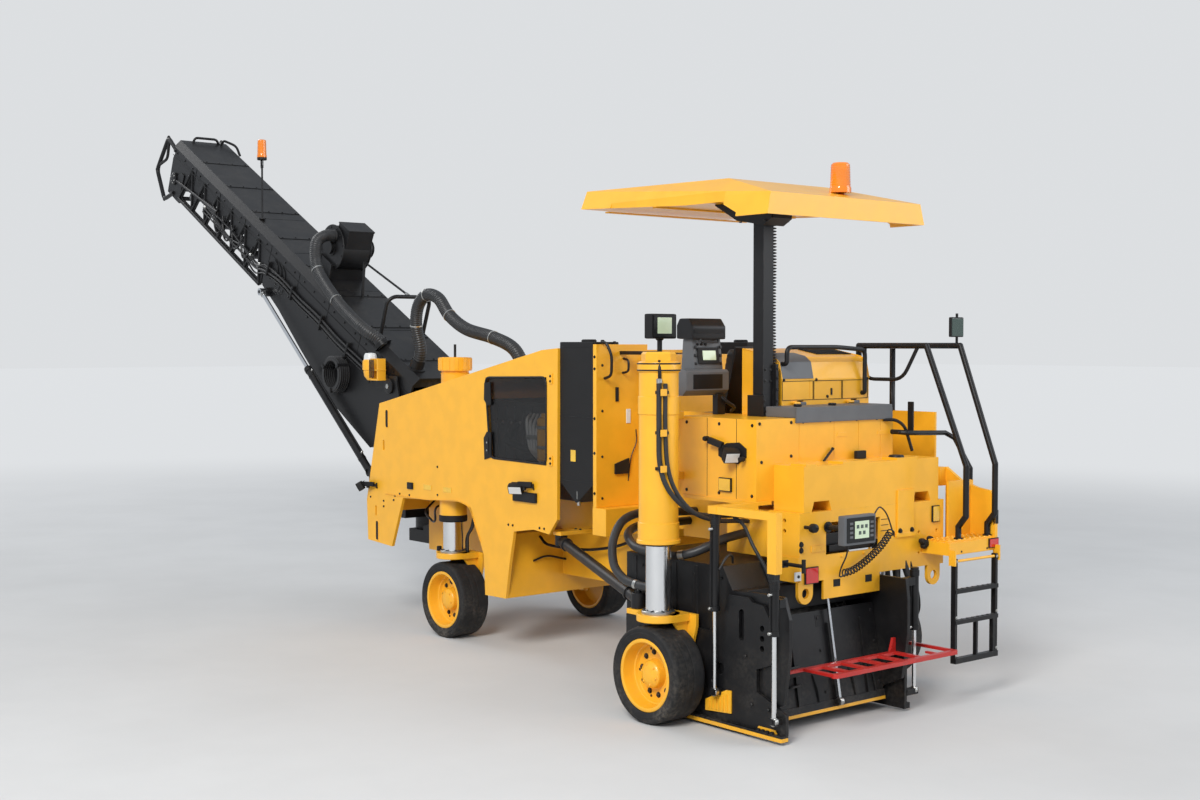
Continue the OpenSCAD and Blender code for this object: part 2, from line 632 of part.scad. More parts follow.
module lift_rods() {
  d = lift_eye - lift_pin;
  color(chrome) shift() both() {
    bar(lift_pin + d * 0.16, lift_eye, 22);
    translate(lift_eye + [0, 30, 0]) rotate([90, 0, 0]) cylinder(r = 40, h = 60);
  }
}
module rear_door() {
  color(black) shift() on_door() {
    box([-25, 36, 0], [0, 1229, 670]);
    for (y = [200, 530, 900]) box([-40, y - 8, 60], [-24, y + 8, 580]);
    box([-36, 36, 0], [-24, 1229, 60]);
    box([-75, 505, 20], [-24, 555, 60]);
    translate([-62, 530, 55]) cylinder(r = 12, h = 900);
  }
}
module left_side_plate() {
  color(black) shift() {
    xz(1271, 1296) difference() {
      polygon([[560, 60], [560, 640], [-300, 640], [-440, 800], [-486, 906], [-663, 908], [-700, 880],
               [-800, 872], [-874, 757], [-874, 498], [-741, 448], [-741, 300], [-900, 240], [-1004, 190],
               [-1004, 60]]);
      for (z = [640, 800]) translate([-601, z]) circle(r = 24);
      polygon([[-625, 640], [-577, 640], [-577, 800], [-625, 800]]);
      for (z = [590, 656, 722]) translate([-789, z]) circle(r = 20);
      translate([-400, 400]) circle(r = 40);
    }
    box([-1000, 1270, 20], [560, 1330, 60]);
    box([-425, 1296, 230], [-375, 1365, 270]);
    translate([-400, 1345, 270]) cylinder(r = 14, h = 640);
    box([-970, 1296, 130], [-920, 1365, 170]);
    translate([-945, 1345, 170]) cylinder(r = 16, h = 640);
  }
}
module right_side_plate() {
  color(black) shift() {
    box([-900, -31, 60], [560, -6, 640]);
    box([-900, -65, 20], [560, -5, 60]);
    box([-905, -150, 110], [-855, -30.5, 150]);
    translate([-880, -130, 150]) cylinder(r = 14, h = 520);
  }
}
module lamps() {
  color([0.9, 0.9, 0.88]) shift() {
    both() box([2020, body_half + gap, 1290], [2330, body_half + 18, 1370]);
    box([-712, 690, 960], [-700.3, 800, 1060]);
    box([-962, -985, 1102], [-950.3, -900, 1148]);
    box([-150, 980.3, 1550], [-40, 1000, 1640]);
    box([-712, -620, 1270], [-700.3, -540, 1390]);
    both() translate([4597.9, 800, 1180]) rotate([0, 90, 0]) cylinder(r = 60, h = 90);
  }
}
module leg_hose() {
  color([0.2, 0.2, 0.21]) shift() {
    hose(leg_route, 32, [0, 0, 1]);
    hose(return_route, 32, [0, 0, 1]);
  }
}
module hood_duct() {
  color([0.2, 0.2, 0.21]) shift() hose(hood_route, 60, [0, 1, 0]);
}

front_frame();
front_panels();
front_cover();
windows();
engine_block();
side_tanks();
mid_body();
platform();
rear_body();
rear_bumper();
bumper_tray();
tool_beam();
console();
seat();
mast();
canopy();
handrails();
step_box();
fittings();
beacons();
drum_box();
cylinder_barrels();
slew_base();
rear_right_leg();
engine_hood();
ladder();
rear_guard();
milling_drum();
tyre_fl();
tyre_fr();
tyre_rl();
tyre_rr();
rim_fl();
rim_fr();
rim_rl();
rim_rr();
leg_fl();
leg_fr();
swing_leg();
leg_strut();
slew_frame();
boom();
boom_lattice();
belt();
blower();
boom_duct();
boom_beacon();
lift_barrels();
lift_rods();
rear_door();
left_side_plate();
right_side_plate();
lamps();
leg_hose();
hood_duct();
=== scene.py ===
"""Cold planer milling machine: the looks of every piece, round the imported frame."""
import math

import bmesh
import bpy
from mathutils import Matrix, Vector


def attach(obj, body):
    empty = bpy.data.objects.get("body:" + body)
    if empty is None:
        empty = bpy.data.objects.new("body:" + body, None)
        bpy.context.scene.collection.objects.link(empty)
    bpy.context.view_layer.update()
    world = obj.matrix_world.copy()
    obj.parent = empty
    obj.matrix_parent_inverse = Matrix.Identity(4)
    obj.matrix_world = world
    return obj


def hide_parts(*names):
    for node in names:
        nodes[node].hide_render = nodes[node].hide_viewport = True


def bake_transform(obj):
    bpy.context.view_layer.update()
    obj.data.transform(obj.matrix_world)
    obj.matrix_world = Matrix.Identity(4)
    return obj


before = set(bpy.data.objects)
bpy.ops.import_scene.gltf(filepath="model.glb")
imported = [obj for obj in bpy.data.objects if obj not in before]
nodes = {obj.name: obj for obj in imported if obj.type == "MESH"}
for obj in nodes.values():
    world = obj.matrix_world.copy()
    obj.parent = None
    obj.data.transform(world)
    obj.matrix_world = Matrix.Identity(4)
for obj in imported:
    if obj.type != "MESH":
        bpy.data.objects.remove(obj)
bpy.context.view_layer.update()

# Machine millimetres, measured from the rear left hub, the centre line and the road.
X_MID, Y_MID = 4774, 315
WHEELBASE, TYRE_R = 3440, 330
FRONT_Y, REAR_LEFT_Y, REAR_RIGHT_Y = 810, 1490, -790
SIDE = 980  # the outer face of the side panels
REAR = -700  # the bumper's rear face
SLEW_X, LIFT_X, LIFT_Z = 4950, 5150, 2150
SLOPE = math.radians(28)  # the conveyor's slope, from its lift pin
BEACON_X, BEACON_Y = 8000, 280  # the post near the conveyor's tip
SHARP = 0.6  # faces that meet at more than this angle, in radians, have a sharp corner
CORNER_SHARE = 0.4  # the most of a side that a rounded corner takes
ORIGIN, AHEAD, BACK = (0, 0, 0), (1, 0, 0), (-1, 0, 0)
LEFT, RIGHT, UP, DOWN = (0, 1, 0), (0, -1, 0), (0, 0, 1), (0, 0, -1)


# Finishes
def socket(group, name, kind, way, value=None):
    """One input or output of a shader group, with its default."""
    made = group.interface.new_socket(name, socket_type=kind, in_out=way)
    if value is not None:
        made.default_value = value
    return made


class Graph:
    """A small helper that adds nodes to a material or group and joins them."""

    def __init__(self, tree):
        self.tree = tree

    def add(self, kind, values=(), **settings):
        made = self.tree.nodes.new(kind)
        for name, value in settings.items():
            setattr(made, name, value)
        for key, value in dict(values).items():
            self.feed(made, key, value)
        return made

    def feed(self, made, key, value):
        if isinstance(value, bpy.types.NodeSocket):
            self.tree.links.new(value, made.inputs[key])
        else:
            made.inputs[key].default_value = value

    def math(self, how, a, b=0.0, clamp=False):
        made = self.add("ShaderNodeMath", {0: a, 1: b}, operation=how)
        made.use_clamp = clamp
        return made.outputs[0]

    def ramp(self, value, low, high):
        made = self.add("ShaderNodeMapRange", {"Value": value, "From Min": low, "From Max": high},
                        interpolation_type="SMOOTHSTEP")
        return made.outputs["Result"]

    def mix(self, share, a, b):
        made = self.add("ShaderNodeMix", data_type="RGBA")
        for key, value in ((0, share), (6, a), (7, b)):
            self.feed(made, key, value)
        return made.outputs[2]

    def noise(self, place, scale, detail=4.0, rough=0.6):
        return self.add("ShaderNodeTexNoise", {"Vector": place, "Scale": scale, "Detail": detail,
                                               "Roughness": rough}).outputs["Fac"]


def group(name, inputs, outputs):
    """An empty shader group of plain numbers, with its helper and its two ends."""
    tree = bpy.data.node_groups.new(name, "ShaderNodeTree")
    for label, value in inputs.items():
        socket(tree, label, "NodeSocketFloat", "INPUT", value)
    for label in outputs:
        socket(tree, label, "NodeSocketFloat", "OUTPUT")
    g = Graph(tree)
    return tree, g, g.add("NodeGroupInput"), g.add("NodeGroupOutput")


def make_edge_wear():
    """A mask along corners: where the rounded normal leaves the true one, broken up by noise."""
    tree, g, entry, exit_ = group("edge_wear", {"Width": 0.008, "Amount": 0.5}, ["Mask"])
    place = g.add("ShaderNodeTexCoord").outputs["Object"]
    rounded = g.add("ShaderNodeBevel", {"Radius": entry.outputs["Width"]}, samples=4).outputs[0]
    true = g.add("ShaderNodeNewGeometry").outputs["Normal"]
    turned = g.add("ShaderNodeVectorMath", {0: rounded, 1: true}, operation="DOT_PRODUCT").outputs["Value"]
    corner = g.ramp(g.math("SUBTRACT", 1.0, turned), 0.02, 0.25)
    spots = g.ramp(g.noise(place, 14.0, 6.0, 0.7), 0.5, 0.62)
    mask = g.math("MULTIPLY", g.math("MULTIPLY", corner, spots), entry.outputs["Amount"], clamp=True)
    g.feed(exit_, "Mask", mask)
    return tree


def make_road_dust():
    """Pale dust: on faces that look up, more of it near the road, in soft clouds."""
    tree, g, entry, exit_ = group("road_dust", {"Amount": 0.3, "Height": 0.9}, ["Mask"])
    place = g.add("ShaderNodeTexCoord").outputs["Object"]
    normal = g.add("ShaderNodeSeparateXYZ",
                   {0: g.add("ShaderNodeNewGeometry").outputs["Normal"]}).outputs["Z"]
    height = g.add("ShaderNodeSeparateXYZ", {0: place}).outputs["Z"]
    low = g.math("SUBTRACT", 1.0, g.math("DIVIDE", height, entry.outputs["Height"]), clamp=True)
    up = g.math("MULTIPLY", g.ramp(normal, 0.2, 1.0), 0.45)
    clouds = g.ramp(g.noise(place, 3.2, 7.0, 0.62), 0.38, 0.7)
    fine = g.ramp(g.noise(place, 38.0, 4.0, 0.6), 0.3, 0.75)
    both = g.math("MULTIPLY", g.math("ADD", low, up), g.math("MULTIPLY", clouds, fine))
    g.feed(exit_, "Mask", g.math("MULTIPLY", both, entry.outputs["Amount"], clamp=True))
    return tree


def make_skin():
    """The fine unevenness of a surface: two sizes of noise as a height."""
    tree, g, entry, exit_ = group("skin", {"Fine": 220.0, "Coarse": 9.0, "Share": 0.5}, ["Height", "Tone"])
    place = g.add("ShaderNodeTexCoord").outputs["Object"]
    fine = g.noise(place, entry.outputs["Fine"], 3.0, 0.55)
    coarse = g.noise(place, entry.outputs["Coarse"], 3.0, 0.5)
    mixed = g.math("ADD", g.math("MULTIPLY", fine, entry.outputs["Share"]), coarse)
    g.feed(exit_, "Height", mixed)
    g.feed(exit_, "Tone", coarse)
    return tree


EDGE_WEAR, ROAD_DUST, SKIN = make_edge_wear(), make_road_dust(), make_skin()
DUST = (0.36, 0.31, 0.25, 1)


def finish(name, colour, rough=0.4, metal=0.0, wear=0.0, worn=(0.3, 0.29, 0.27), dust=0.2, dust_height=0.9,
           fine=220.0, coarse=9.0, share=0.5, bump=0.05, coat=0.0, tone=0.08, specular=0.5, glow=0.0,
           clear=1.0, detail=None):
    """One material: a base colour with tone changes, worn corners, dust and a fine skin."""
    made = bpy.data.materials.new(name)
    made.use_nodes = True
    g = Graph(made.node_tree)
    shader = made.node_tree.nodes["Principled BSDF"]
    base = (*colour, 1)
    darker = (*(c * (1 - tone * 2) for c in colour), 1)
    skin = g.add("ShaderNodeGroup", node_tree=SKIN, values={"Fine": fine, "Coarse": coarse, "Share": share})
    surface = g.mix(g.ramp(skin.outputs["Tone"], 0.35, 0.65), darker, base)
    roughness = g.math("ADD", g.math("MULTIPLY", skin.outputs["Tone"], 0.16), rough - 0.08)
    if detail:
        surface, roughness = detail(g, surface, roughness)
    if wear:
        mask = g.add("ShaderNodeGroup", node_tree=EDGE_WEAR, values={"Amount": wear}).outputs["Mask"]
        surface = g.mix(mask, surface, (*worn, 1))
    if dust:
        film = g.add("ShaderNodeGroup", node_tree=ROAD_DUST,
                     values={"Amount": dust, "Height": dust_height}).outputs["Mask"]
        surface = g.mix(film, surface, DUST)
        roughness = g.math("ADD", roughness, g.math("MULTIPLY", film, 0.4), clamp=True)
    g.feed(shader, "Base Color", surface)
    g.feed(shader, "Roughness", roughness)
    height = g.add("ShaderNodeBump", {"Height": skin.outputs["Height"], "Strength": bump, "Distance": 0.002})
    g.feed(shader, "Normal", height.outputs["Normal"])
    if glow:
        g.feed(shader, "Emission Color", surface)
    for key, value in (("Metallic", metal), ("Coat Weight", coat), ("Specular IOR Level", specular),
                       ("Emission Strength", glow), ("Alpha", clear)):
        shader.inputs[key].default_value = value
    shader.inputs["Coat Roughness"].default_value = 0.12
    return made


# Making shapes
def spot(x, y, z):
    """Machine millimetres to the frame's metres."""
    return Vector(((x - X_MID) / 1000, (y - Y_MID) / 1000, z / 1000))


def on_boom(u, y, v):
    """A point on the conveyor: u along it from the lift pin, v square to it."""
    return (LIFT_X + u * math.cos(SLOPE) - v * math.sin(SLOPE), y,
            LIFT_Z + u * math.sin(SLOPE) + v * math.cos(SLOPE))


def around(count, radius, start=0.0):
    """The places of a ring of equal steps, as pairs."""
    angles = [math.tau * (k + start) / count for k in range(count)]
    return [(radius * math.cos(a), radius * math.sin(a)) for a in angles]


def disc(radius, low, high, cut=0, drop=0):
    """The profile of a round plug, with both rims chamfered if cut is given."""
    if not cut:
        return [(0, low), (radius, low), (radius, high), (0, high)]
    return [(0, low), (radius - cut, low), (radius, low + drop), (radius, high - drop),
            (radius - cut, high), (0, high)]


def knob(radius, top, side, high, low=0):
    """The profile of a round plug whose far rim narrows to a smaller top."""
    return [(0, low), (radius, low), (radius, side), (top, high), (0, high)]


def sleeve(inner, outer, low, high, drop):
    """The profile of a collar with chamfered rims, open inside."""
    return [(inner, low), (outer, low + drop), (outer, high - drop), (inner, high)]


def rounded(points, radius, steps=5):
    """A path of straight runs with its corners rounded to a radius."""
    points = [Vector(p) for p in points]
    out = [points[0]]
    for before, here, after in zip(points, points[1:], points[2:]):
        a, b = (before - here), (after - here)
        reach = min(radius, a.length * 0.48, b.length * 0.48)
        first, last = here + a.normalized() * reach, here + b.normalized() * reach
        for i in range(steps + 1):
            t = i / steps
            out.append(first * (1 - t) ** 2 + here * 2 * t * (1 - t) + last * t ** 2)
    return out + [points[-1]]


def swept(points, count=60):
    """A smooth curve through all the points, evenly spaced."""
    points = [Vector(p) for p in points]
    ends = [points[0] * 2 - points[1]] + points + [points[-1] * 2 - points[-2]]
    dense = []
    for i in range(1, len(ends) - 2):
        p0, p1, p2, p3 = ends[i - 1:i + 3]
        for k in range(12):
            t = k / 12
            dense.append(0.5 * ((2 * p1) + (p2 - p0) * t + (2 * p0 - 5 * p1 + 4 * p2 - p3) * t * t
                                + (3 * p1 - p0 - 3 * p2 + p3) * t ** 3))
    dense.append(points[-1])
    lengths = [0]
    for a, b in zip(dense, dense[1:]):
        lengths.append(lengths[-1] + (b - a).length)
    out, k = [], 0
    for i in range(count + 1):
        want = lengths[-1] * i / count
        while k < len(dense) - 2 and lengths[k + 1] < want:
            k += 1
        share = (want - lengths[k]) / max(lengths[k + 1] - lengths[k], 1e-9)
        out.append(dense[k].lerp(dense[k + 1], min(1, share)))
    return out


PLANES = {"xz": lambda a, b, c: (a, c, b), "yz": lambda a, b, c: (c, a, b), "xy": lambda a, b, c: (a, b, c)}


class Piece:
    """Gathers shapes in machine millimetres, then becomes one object on a body."""

    def __init__(self, name, body, place=None, mirror=False):
        self.name, self.body, self.place, self.mirror = name, body, place, mirror
        self.mesh, self.finishes = bmesh.new(), []

    def put(self, made, finish_, edge=0.0, smooth=True):
        """Takes a small bmesh in, with its corners rounded, and clears it."""
        bmesh.ops.recalc_face_normals(made, faces=made.faces)
        if edge:
            sharp = [e for e in made.edges if len(e.link_faces) == 2 and e.calc_face_angle() > SHARP]
            bmesh.ops.bevel(made, geom=sharp, offset=edge, segments=2, profile=0.7, affect="EDGES",
                            clamp_overlap=True)
        if finish_ not in self.finishes:
            self.finishes.append(finish_)
        index, copy = self.finishes.index(finish_), {}
        for v in made.verts:
            p = Vector(v.co)
            if self.place:
                p = Vector(self.place(*p))
            copy[v] = self.mesh.verts.new(spot(*p))
        for f in made.faces:
            try:
                new = self.mesh.faces.new([copy[v] for v in f.verts])
            except ValueError:
                continue
            new.material_index, new.smooth = index, smooth
        made.free()

    def block(self, low, high, finish_, edge=3.0):
        """A box between two corners."""
        made = bmesh.new()
        bmesh.ops.create_cube(made, size=1)
        low, high = Vector(low), Vector(high)
        size = high - low
        for v in made.verts:
            v.co = Vector([(low[i] + high[i]) / 2 + v.co[i] * size[i] for i in range(3)])
        self.put(made, finish_, min(edge, min(abs(s) for s in size) * CORNER_SHARE))

    def prism(self, plane, outline, start, end, finish_, edge=3.0, holes=()):
        """An outline on xz, yz or xy, drawn out from start to end, with holes through it."""
        turn, made = PLANES[plane], bmesh.new()
        for loop in [outline, *holes]:
            ring = [made.verts.new(turn(a, b, start)) for a, b in loop]
            for i, v in enumerate(ring):
                made.edges.new((ring[i - 1], v))
        if holes:
            bmesh.ops.triangle_fill(made, edges=made.edges[:], use_beauty=True)
            bmesh.ops.dissolve_limit(made, angle_limit=0.01, verts=[], edges=made.edges[:])
        else:
            made.faces.new(made.verts[:])
        lid = bmesh.ops.extrude_face_region(made, geom=made.faces[:])["geom"]
        move = Vector(turn(0, 0, end)) - Vector(turn(0, 0, start))
        bmesh.ops.translate(made, vec=move, verts=[g for g in lid if isinstance(g, bmesh.types.BMVert)])
        self.put(made, finish_, min(edge, abs(end - start) * CORNER_SHARE))

    def tube(self, points, radius, finish_, sides=12, closed=True, radii=None):
        """A round bar along a path; radii gives each point its own radius."""
        points = [Vector(p) for p in points]
        made, rings, normal = bmesh.new(), [], None
        for i, p in enumerate(points):
            ahead = (points[min(i + 1, len(points) - 1)] - points[max(i - 1, 0)]).normalized()
            if normal is None:
                normal = ahead.orthogonal().normalized()
            normal = (normal - ahead * normal.dot(ahead)).normalized()
            side, r = ahead.cross(normal), radii[i] if radii else radius
            rings.append([made.verts.new(p + (normal * math.cos(a) + side * math.sin(a)) * r)
                          for a in (math.tau * k / sides for k in range(sides))])
        for a, b in zip(rings, rings[1:]):
            for k in range(sides):
                made.faces.new((a[k - 1], a[k], b[k], b[k - 1]))
        if closed:
            made.faces.new(rings[0])
            made.faces.new(rings[-1][::-1])
        self.put(made, finish_)

    def turned(self, profile, centre, axis, finish_, sides=32, ring=False):
        """A turned part: (radius, height) points round an axis; a ring joins its last point to its first."""
        axis = Vector(axis).normalized()
        across = axis.orthogonal().normalized()
        side, centre = axis.cross(across), Vector(centre)
        made, rings = bmesh.new(), []
        angles = [math.tau * k / sides for k in range(sides)]
        turn = [across * math.cos(a) + side * math.sin(a) for a in angles]
        for r, h in profile:
            middle = centre + axis * h
            spokes = [way * r for way in turn] if r > 1e-6 else [Vector()]
            rings.append([made.verts.new(middle + spoke) for spoke in spokes])
        for a, b in zip(rings, rings[1:] + rings[:1] * ring):
            for k in range(sides):
                face = [a[k - 1], a[k]] if len(a) > 1 else [a[0]]
                face += [b[k], b[k - 1]] if len(b) > 1 else [b[0]]
                if len(face) > 2:
                    made.faces.new(face)
        for end in () if ring else (rings[0], rings[-1]):
            if len(end) > 1:
                made.faces.new(end)
        self.put(made, finish_)

    def slab(self, centre, ahead, size, finish_, edge=3.0, up=UP):
        """A block of (length, width, height) turned so that its length points ahead."""
        x = Vector(ahead).normalized()
        y = Vector(up).cross(x).normalized()
        z = x.cross(y)
        made, centre = bmesh.new(), Vector(centre)
        bmesh.ops.create_cube(made, size=1)
        for v in made.verts:
            v.co = centre + x * v.co.x * size[0] + y * v.co.y * size[1] + z * v.co.z * size[2]
        self.put(made, finish_, min(edge, min(size) * CORNER_SHARE))

    def bolt(self, place, axis, finish_, radius=12):
        """A washer and a six-sided head."""
        axis = Vector(axis).normalized()
        self.turned([(radius * 1.35, 0), (radius * 1.35, radius * 0.18)], place, axis, finish_, 16)
        self.turned([(radius, radius * 0.18), (radius, radius * 0.75), (radius * 0.82, radius * 0.9)],
                    place, axis, finish_, 6)

    def done(self, slot, *replaced, ride=True):
        """Makes the object, with flat faces kept flat, and puts it on its body."""
        mesh = bpy.data.meshes.new(self.name)
        if self.mirror:
            both = bmesh.ops.duplicate(self.mesh, geom=self.mesh.faces[:])["geom"]
            half = -2 * Y_MID / 1000
            for v in (g for g in both if isinstance(g, bmesh.types.BMVert)):
                v.co.y = half - v.co.y
        bmesh.ops.recalc_face_normals(self.mesh, faces=self.mesh.faces)
        for e in self.mesh.edges:
            if len(e.link_faces) == 2 and e.calc_face_angle(0) > SHARP:
                e.smooth = False
        self.mesh.to_mesh(mesh)
        self.mesh.free()
        for name in self.finishes:
            mesh.materials.append(name)
        made = bpy.data.objects.new(self.name, mesh)
        bpy.context.scene.collection.objects.link(made)
        made.modifiers.new("even_shading", "WEIGHTED_NORMAL").keep_sharp = True
        if replaced:
            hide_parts(*replaced)
        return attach(made, self.body) if ride else made


# The finishes of this machine
def oval_weave(g, surface, roughness):
    """Window mesh: a fine grid of round holes, seen as darker dots."""
    place = g.add("ShaderNodeTexCoord").outputs["Object"]
    cells = g.add("ShaderNodeTexVoronoi", {"Vector": place, "Scale": 160.0,
                                           "Randomness": 0.0}).outputs["Distance"]
    return g.mix(g.ramp(cells, 0.25, 0.35), (0.004, 0.004, 0.004, 1), surface), roughness


def drawn_lines(g, surface, roughness):
    """Bright rods: faint rings from the polishing."""
    place = g.add("ShaderNodeTexCoord").outputs["Object"]
    rings = g.add("ShaderNodeTexWave", {"Vector": place, "Scale": 60.0, "Distortion": 1.5, "Detail": 2.0},
                  bands_direction="Z").outputs["Fac"]
    return surface, g.math("ADD", roughness, g.math("MULTIPLY", rings, 0.06))


YELLOW = finish("yellow_paint", (0.93, 0.46, 0.022), 0.36, wear=0.35, worn=(0.42, 0.22, 0.05), dust=0.14,
                dust_height=0.8, fine=260, coarse=6, bump=0.035, coat=0.2, tone=0.03)
BLACK = finish("black_paint", (0.009, 0.009, 0.010), 0.42, wear=0.45, worn=(0.10, 0.10, 0.10), dust=0.16,
               dust_height=0.8, fine=300, coarse=7, bump=0.06, tone=0.12, specular=0.34)
MATTE = finish("black_plastic", (0.010, 0.010, 0.011), 0.6, dust=0.18, fine=420, coarse=12, share=1.0,
               bump=0.12, tone=0.1, specular=0.34)
DECK = finish("deck_tread", (0.03, 0.03, 0.032), 0.7, dust=0.5, fine=120, coarse=10, share=1.2, bump=0.4,
              tone=0.15)
GREY = finish("grey_plastic", (0.115, 0.12, 0.128), 0.5, dust=0.2, fine=380, coarse=8, share=1.0, bump=0.1,
              tone=0.05)
RUBBER = finish("tyre_rubber", (0.017, 0.017, 0.018), 0.72, dust=0.5, dust_height=0.5, fine=180, coarse=20,
                share=0.8, bump=0.25, tone=0.14, specular=0.35)
HOSE = finish("hose_rubber", (0.020, 0.020, 0.021), 0.55, dust=0.25, fine=500, coarse=30, bump=0.15,
              tone=0.12)
DUCT = finish("duct_rubber", (0.024, 0.025, 0.027), 0.45, dust=0.25, fine=300, coarse=16, bump=0.1, tone=0.12)
CHROME = finish("chrome_rod", (0.80, 0.81, 0.82), 0.16, metal=1.0, dust=0.05, bump=0.01, tone=0.02,
                detail=drawn_lines)
ZINC = finish("zinc_fitting", (0.52, 0.52, 0.50), 0.36, metal=1.0, dust=0.1, fine=500, bump=0.05, tone=0.06)
STEEL = finish("worn_steel", (0.20, 0.185, 0.17), 0.5, metal=0.8, dust=0.4, dust_height=1.2, fine=90,
               coarse=18, share=0.9, bump=0.3, tone=0.2)
TIP = finish("carbide_tip", (0.36, 0.35, 0.34), 0.3, metal=1.0, dust=0.2, bump=0.05)
RED = finish("red_paint", (0.50, 0.018, 0.014), 0.4, wear=0.4, worn=(0.2, 0.1, 0.08), dust=0.2, bump=0.04,
             coat=0.2, tone=0.04)
CAST = finish("cast_engine", (0.10, 0.10, 0.105), 0.62, metal=0.4, dust=0.3, dust_height=3.0, fine=150,
              coarse=14, share=1.0, bump=0.4, tone=0.1)
VINYL = finish("seat_vinyl", (0.018, 0.018, 0.02), 0.48, dust=0.15, fine=340, coarse=26, share=1.4, bump=0.35,
               tone=0.1)
BELT = finish("belt_rubber", (0.022, 0.021, 0.020), 0.75, dust=0.6, dust_height=5.0, fine=90, coarse=12,
              share=1.0, bump=0.3, tone=0.15)
MESH = finish("window_mesh", (0.008, 0.009, 0.010), 0.22, dust=0.03, bump=0.02, clear=0.48, detail=oval_weave)
WHITE = finish("lamp_white", (0.72, 0.74, 0.74), 0.3, dust=0.05, bump=0.02, tone=0.02)
SCREEN = finish("screen_glass", (0.03, 0.06, 0.045), 0.08, dust=0.03, bump=0.0, coat=1.0)
DISPLAY = finish("lit_display", (0.50, 0.60, 0.42), 0.2, dust=0.0, bump=0.0, coat=0.6, tone=0.02, glow=0.25)
AMBER = finish("amber_lens", (0.90, 0.24, 0.008), 0.14, dust=0.03, bump=0.02, coat=0.8, tone=0.05)
RED_LENS = finish("red_lens", (0.62, 0.01, 0.008), 0.12, dust=0.03, bump=0.02, coat=0.8, tone=0.05)
YELLOW_LENS = finish("yellow_reflector", (0.85, 0.5, 0.02), 0.12, dust=0.03, bump=0.02, coat=0.8, tone=0.05)


# Camera, floor and light
def make_view():
    """The camera stands where the photograph was taken from: behind and to the left, above eye height."""
    data = bpy.data.cameras.new("photo_camera")
    data.lens, data.sensor_width = 46.29, 36
    data.clip_end = 400
    camera = bpy.data.objects.new("photo_camera", data)
    bpy.context.scene.collection.objects.link(camera)
    camera.location = (-12.532, 8.122, 2.563)
    tilt_down = math.radians(2.08)
    ahead = Vector((0.7698, -0.6383, -math.tan(tilt_down)))
    camera.rotation_euler = ahead.to_track_quat("-Z", "Y").to_euler()
    bpy.context.scene.camera = camera


def make_floor():
    """A pale floor with faint clouds, which turns into the backdrop's colour far away."""
    floor = bpy.data.meshes.new("floor")
    size = 150
    floor.from_pydata([(-size, -size, 0), (size, -size, 0), (size, size, 0), (-size, size, 0)], [],
                      [(0, 1, 2, 3)])
    paint = bpy.data.materials.new("floor_paint")
    paint.use_nodes = True
    g = Graph(paint.node_tree)
    shader = paint.node_tree.nodes["Principled BSDF"]
    place = g.add("ShaderNodeTexCoord").outputs["Object"]
    tone = g.ramp(g.noise(place, 0.7, 6.0, 0.6), 0.3, 0.7)
    away = g.add("ShaderNodeVectorMath", {0: place}, operation="LENGTH").outputs["Value"]
    far = g.ramp(away, 7.5, 22.0)
    near = g.mix(tone, (0.60, 0.60, 0.595, 1), (0.63, 0.63, 0.625, 1))
    g.feed(shader, "Base Color", g.mix(far, near, (0, 0, 0, 1)))
    g.feed(shader, "Emission Color", g.mix(far, (0, 0, 0, 1), (0.72, 0.738, 0.756, 1)))
    shader.inputs["Emission Strength"].default_value = 1
    shader.inputs["Specular IOR Level"].default_value = 0.1
    shader.inputs["Roughness"].default_value = 0.85
    floor.materials.append(paint)
    made = bpy.data.objects.new("floor", floor)
    bpy.context.scene.collection.objects.link(made)


def make_lamp(name, place, aim, size, power, colour=(1, 1, 1)):
    """A round area light aimed at a point."""
    data = bpy.data.lights.new(name, "AREA")
    data.shape, data.size, data.energy, data.color = "DISK", size, power, colour
    lamp = bpy.data.objects.new(name, data)
    lamp.location = place
    lamp.rotation_euler = (Vector(aim) - Vector(place)).to_track_quat("-Z", "Y").to_euler()
    bpy.context.scene.collection.objects.link(lamp)


def make_light():
    """A soft key from the camera's left, a wide fill, a lamp from the front, and an even pale sky."""
    make_lamp("key", (-13, 17, 15), (0, 0, 1.5), 9, 4300, (1, 0.985, 0.96))
    make_lamp("fill", (-16, -12, 9), (0, 0, 1), 12, 1100, (0.95, 0.97, 1))
    make_lamp("rim", (16, 2, 13), (0, 0, 2), 10, 900)
    world = bpy.data.worlds.new("studio")
    world.use_nodes = True
    bpy.context.scene.world = world
    g = Graph(world.node_tree)
    back = world.node_tree.nodes["Background"]
    path = g.add("ShaderNodeLightPath")
    seen = g.math("MAXIMUM", path.outputs["Is Camera Ray"], path.outputs["Is Transmission Ray"])
    g.feed(back, "Color", g.mix(seen, (0.86, 0.92, 1.0, 1), (0.80, 0.82, 0.84, 1)))
    g.feed(back, "Strength", g.math("ADD", g.math("MULTIPLY", seen, 0.35), 0.55))
    bpy.context.scene.view_settings.view_transform = "Standard"


make_view()
make_floor()
make_light()


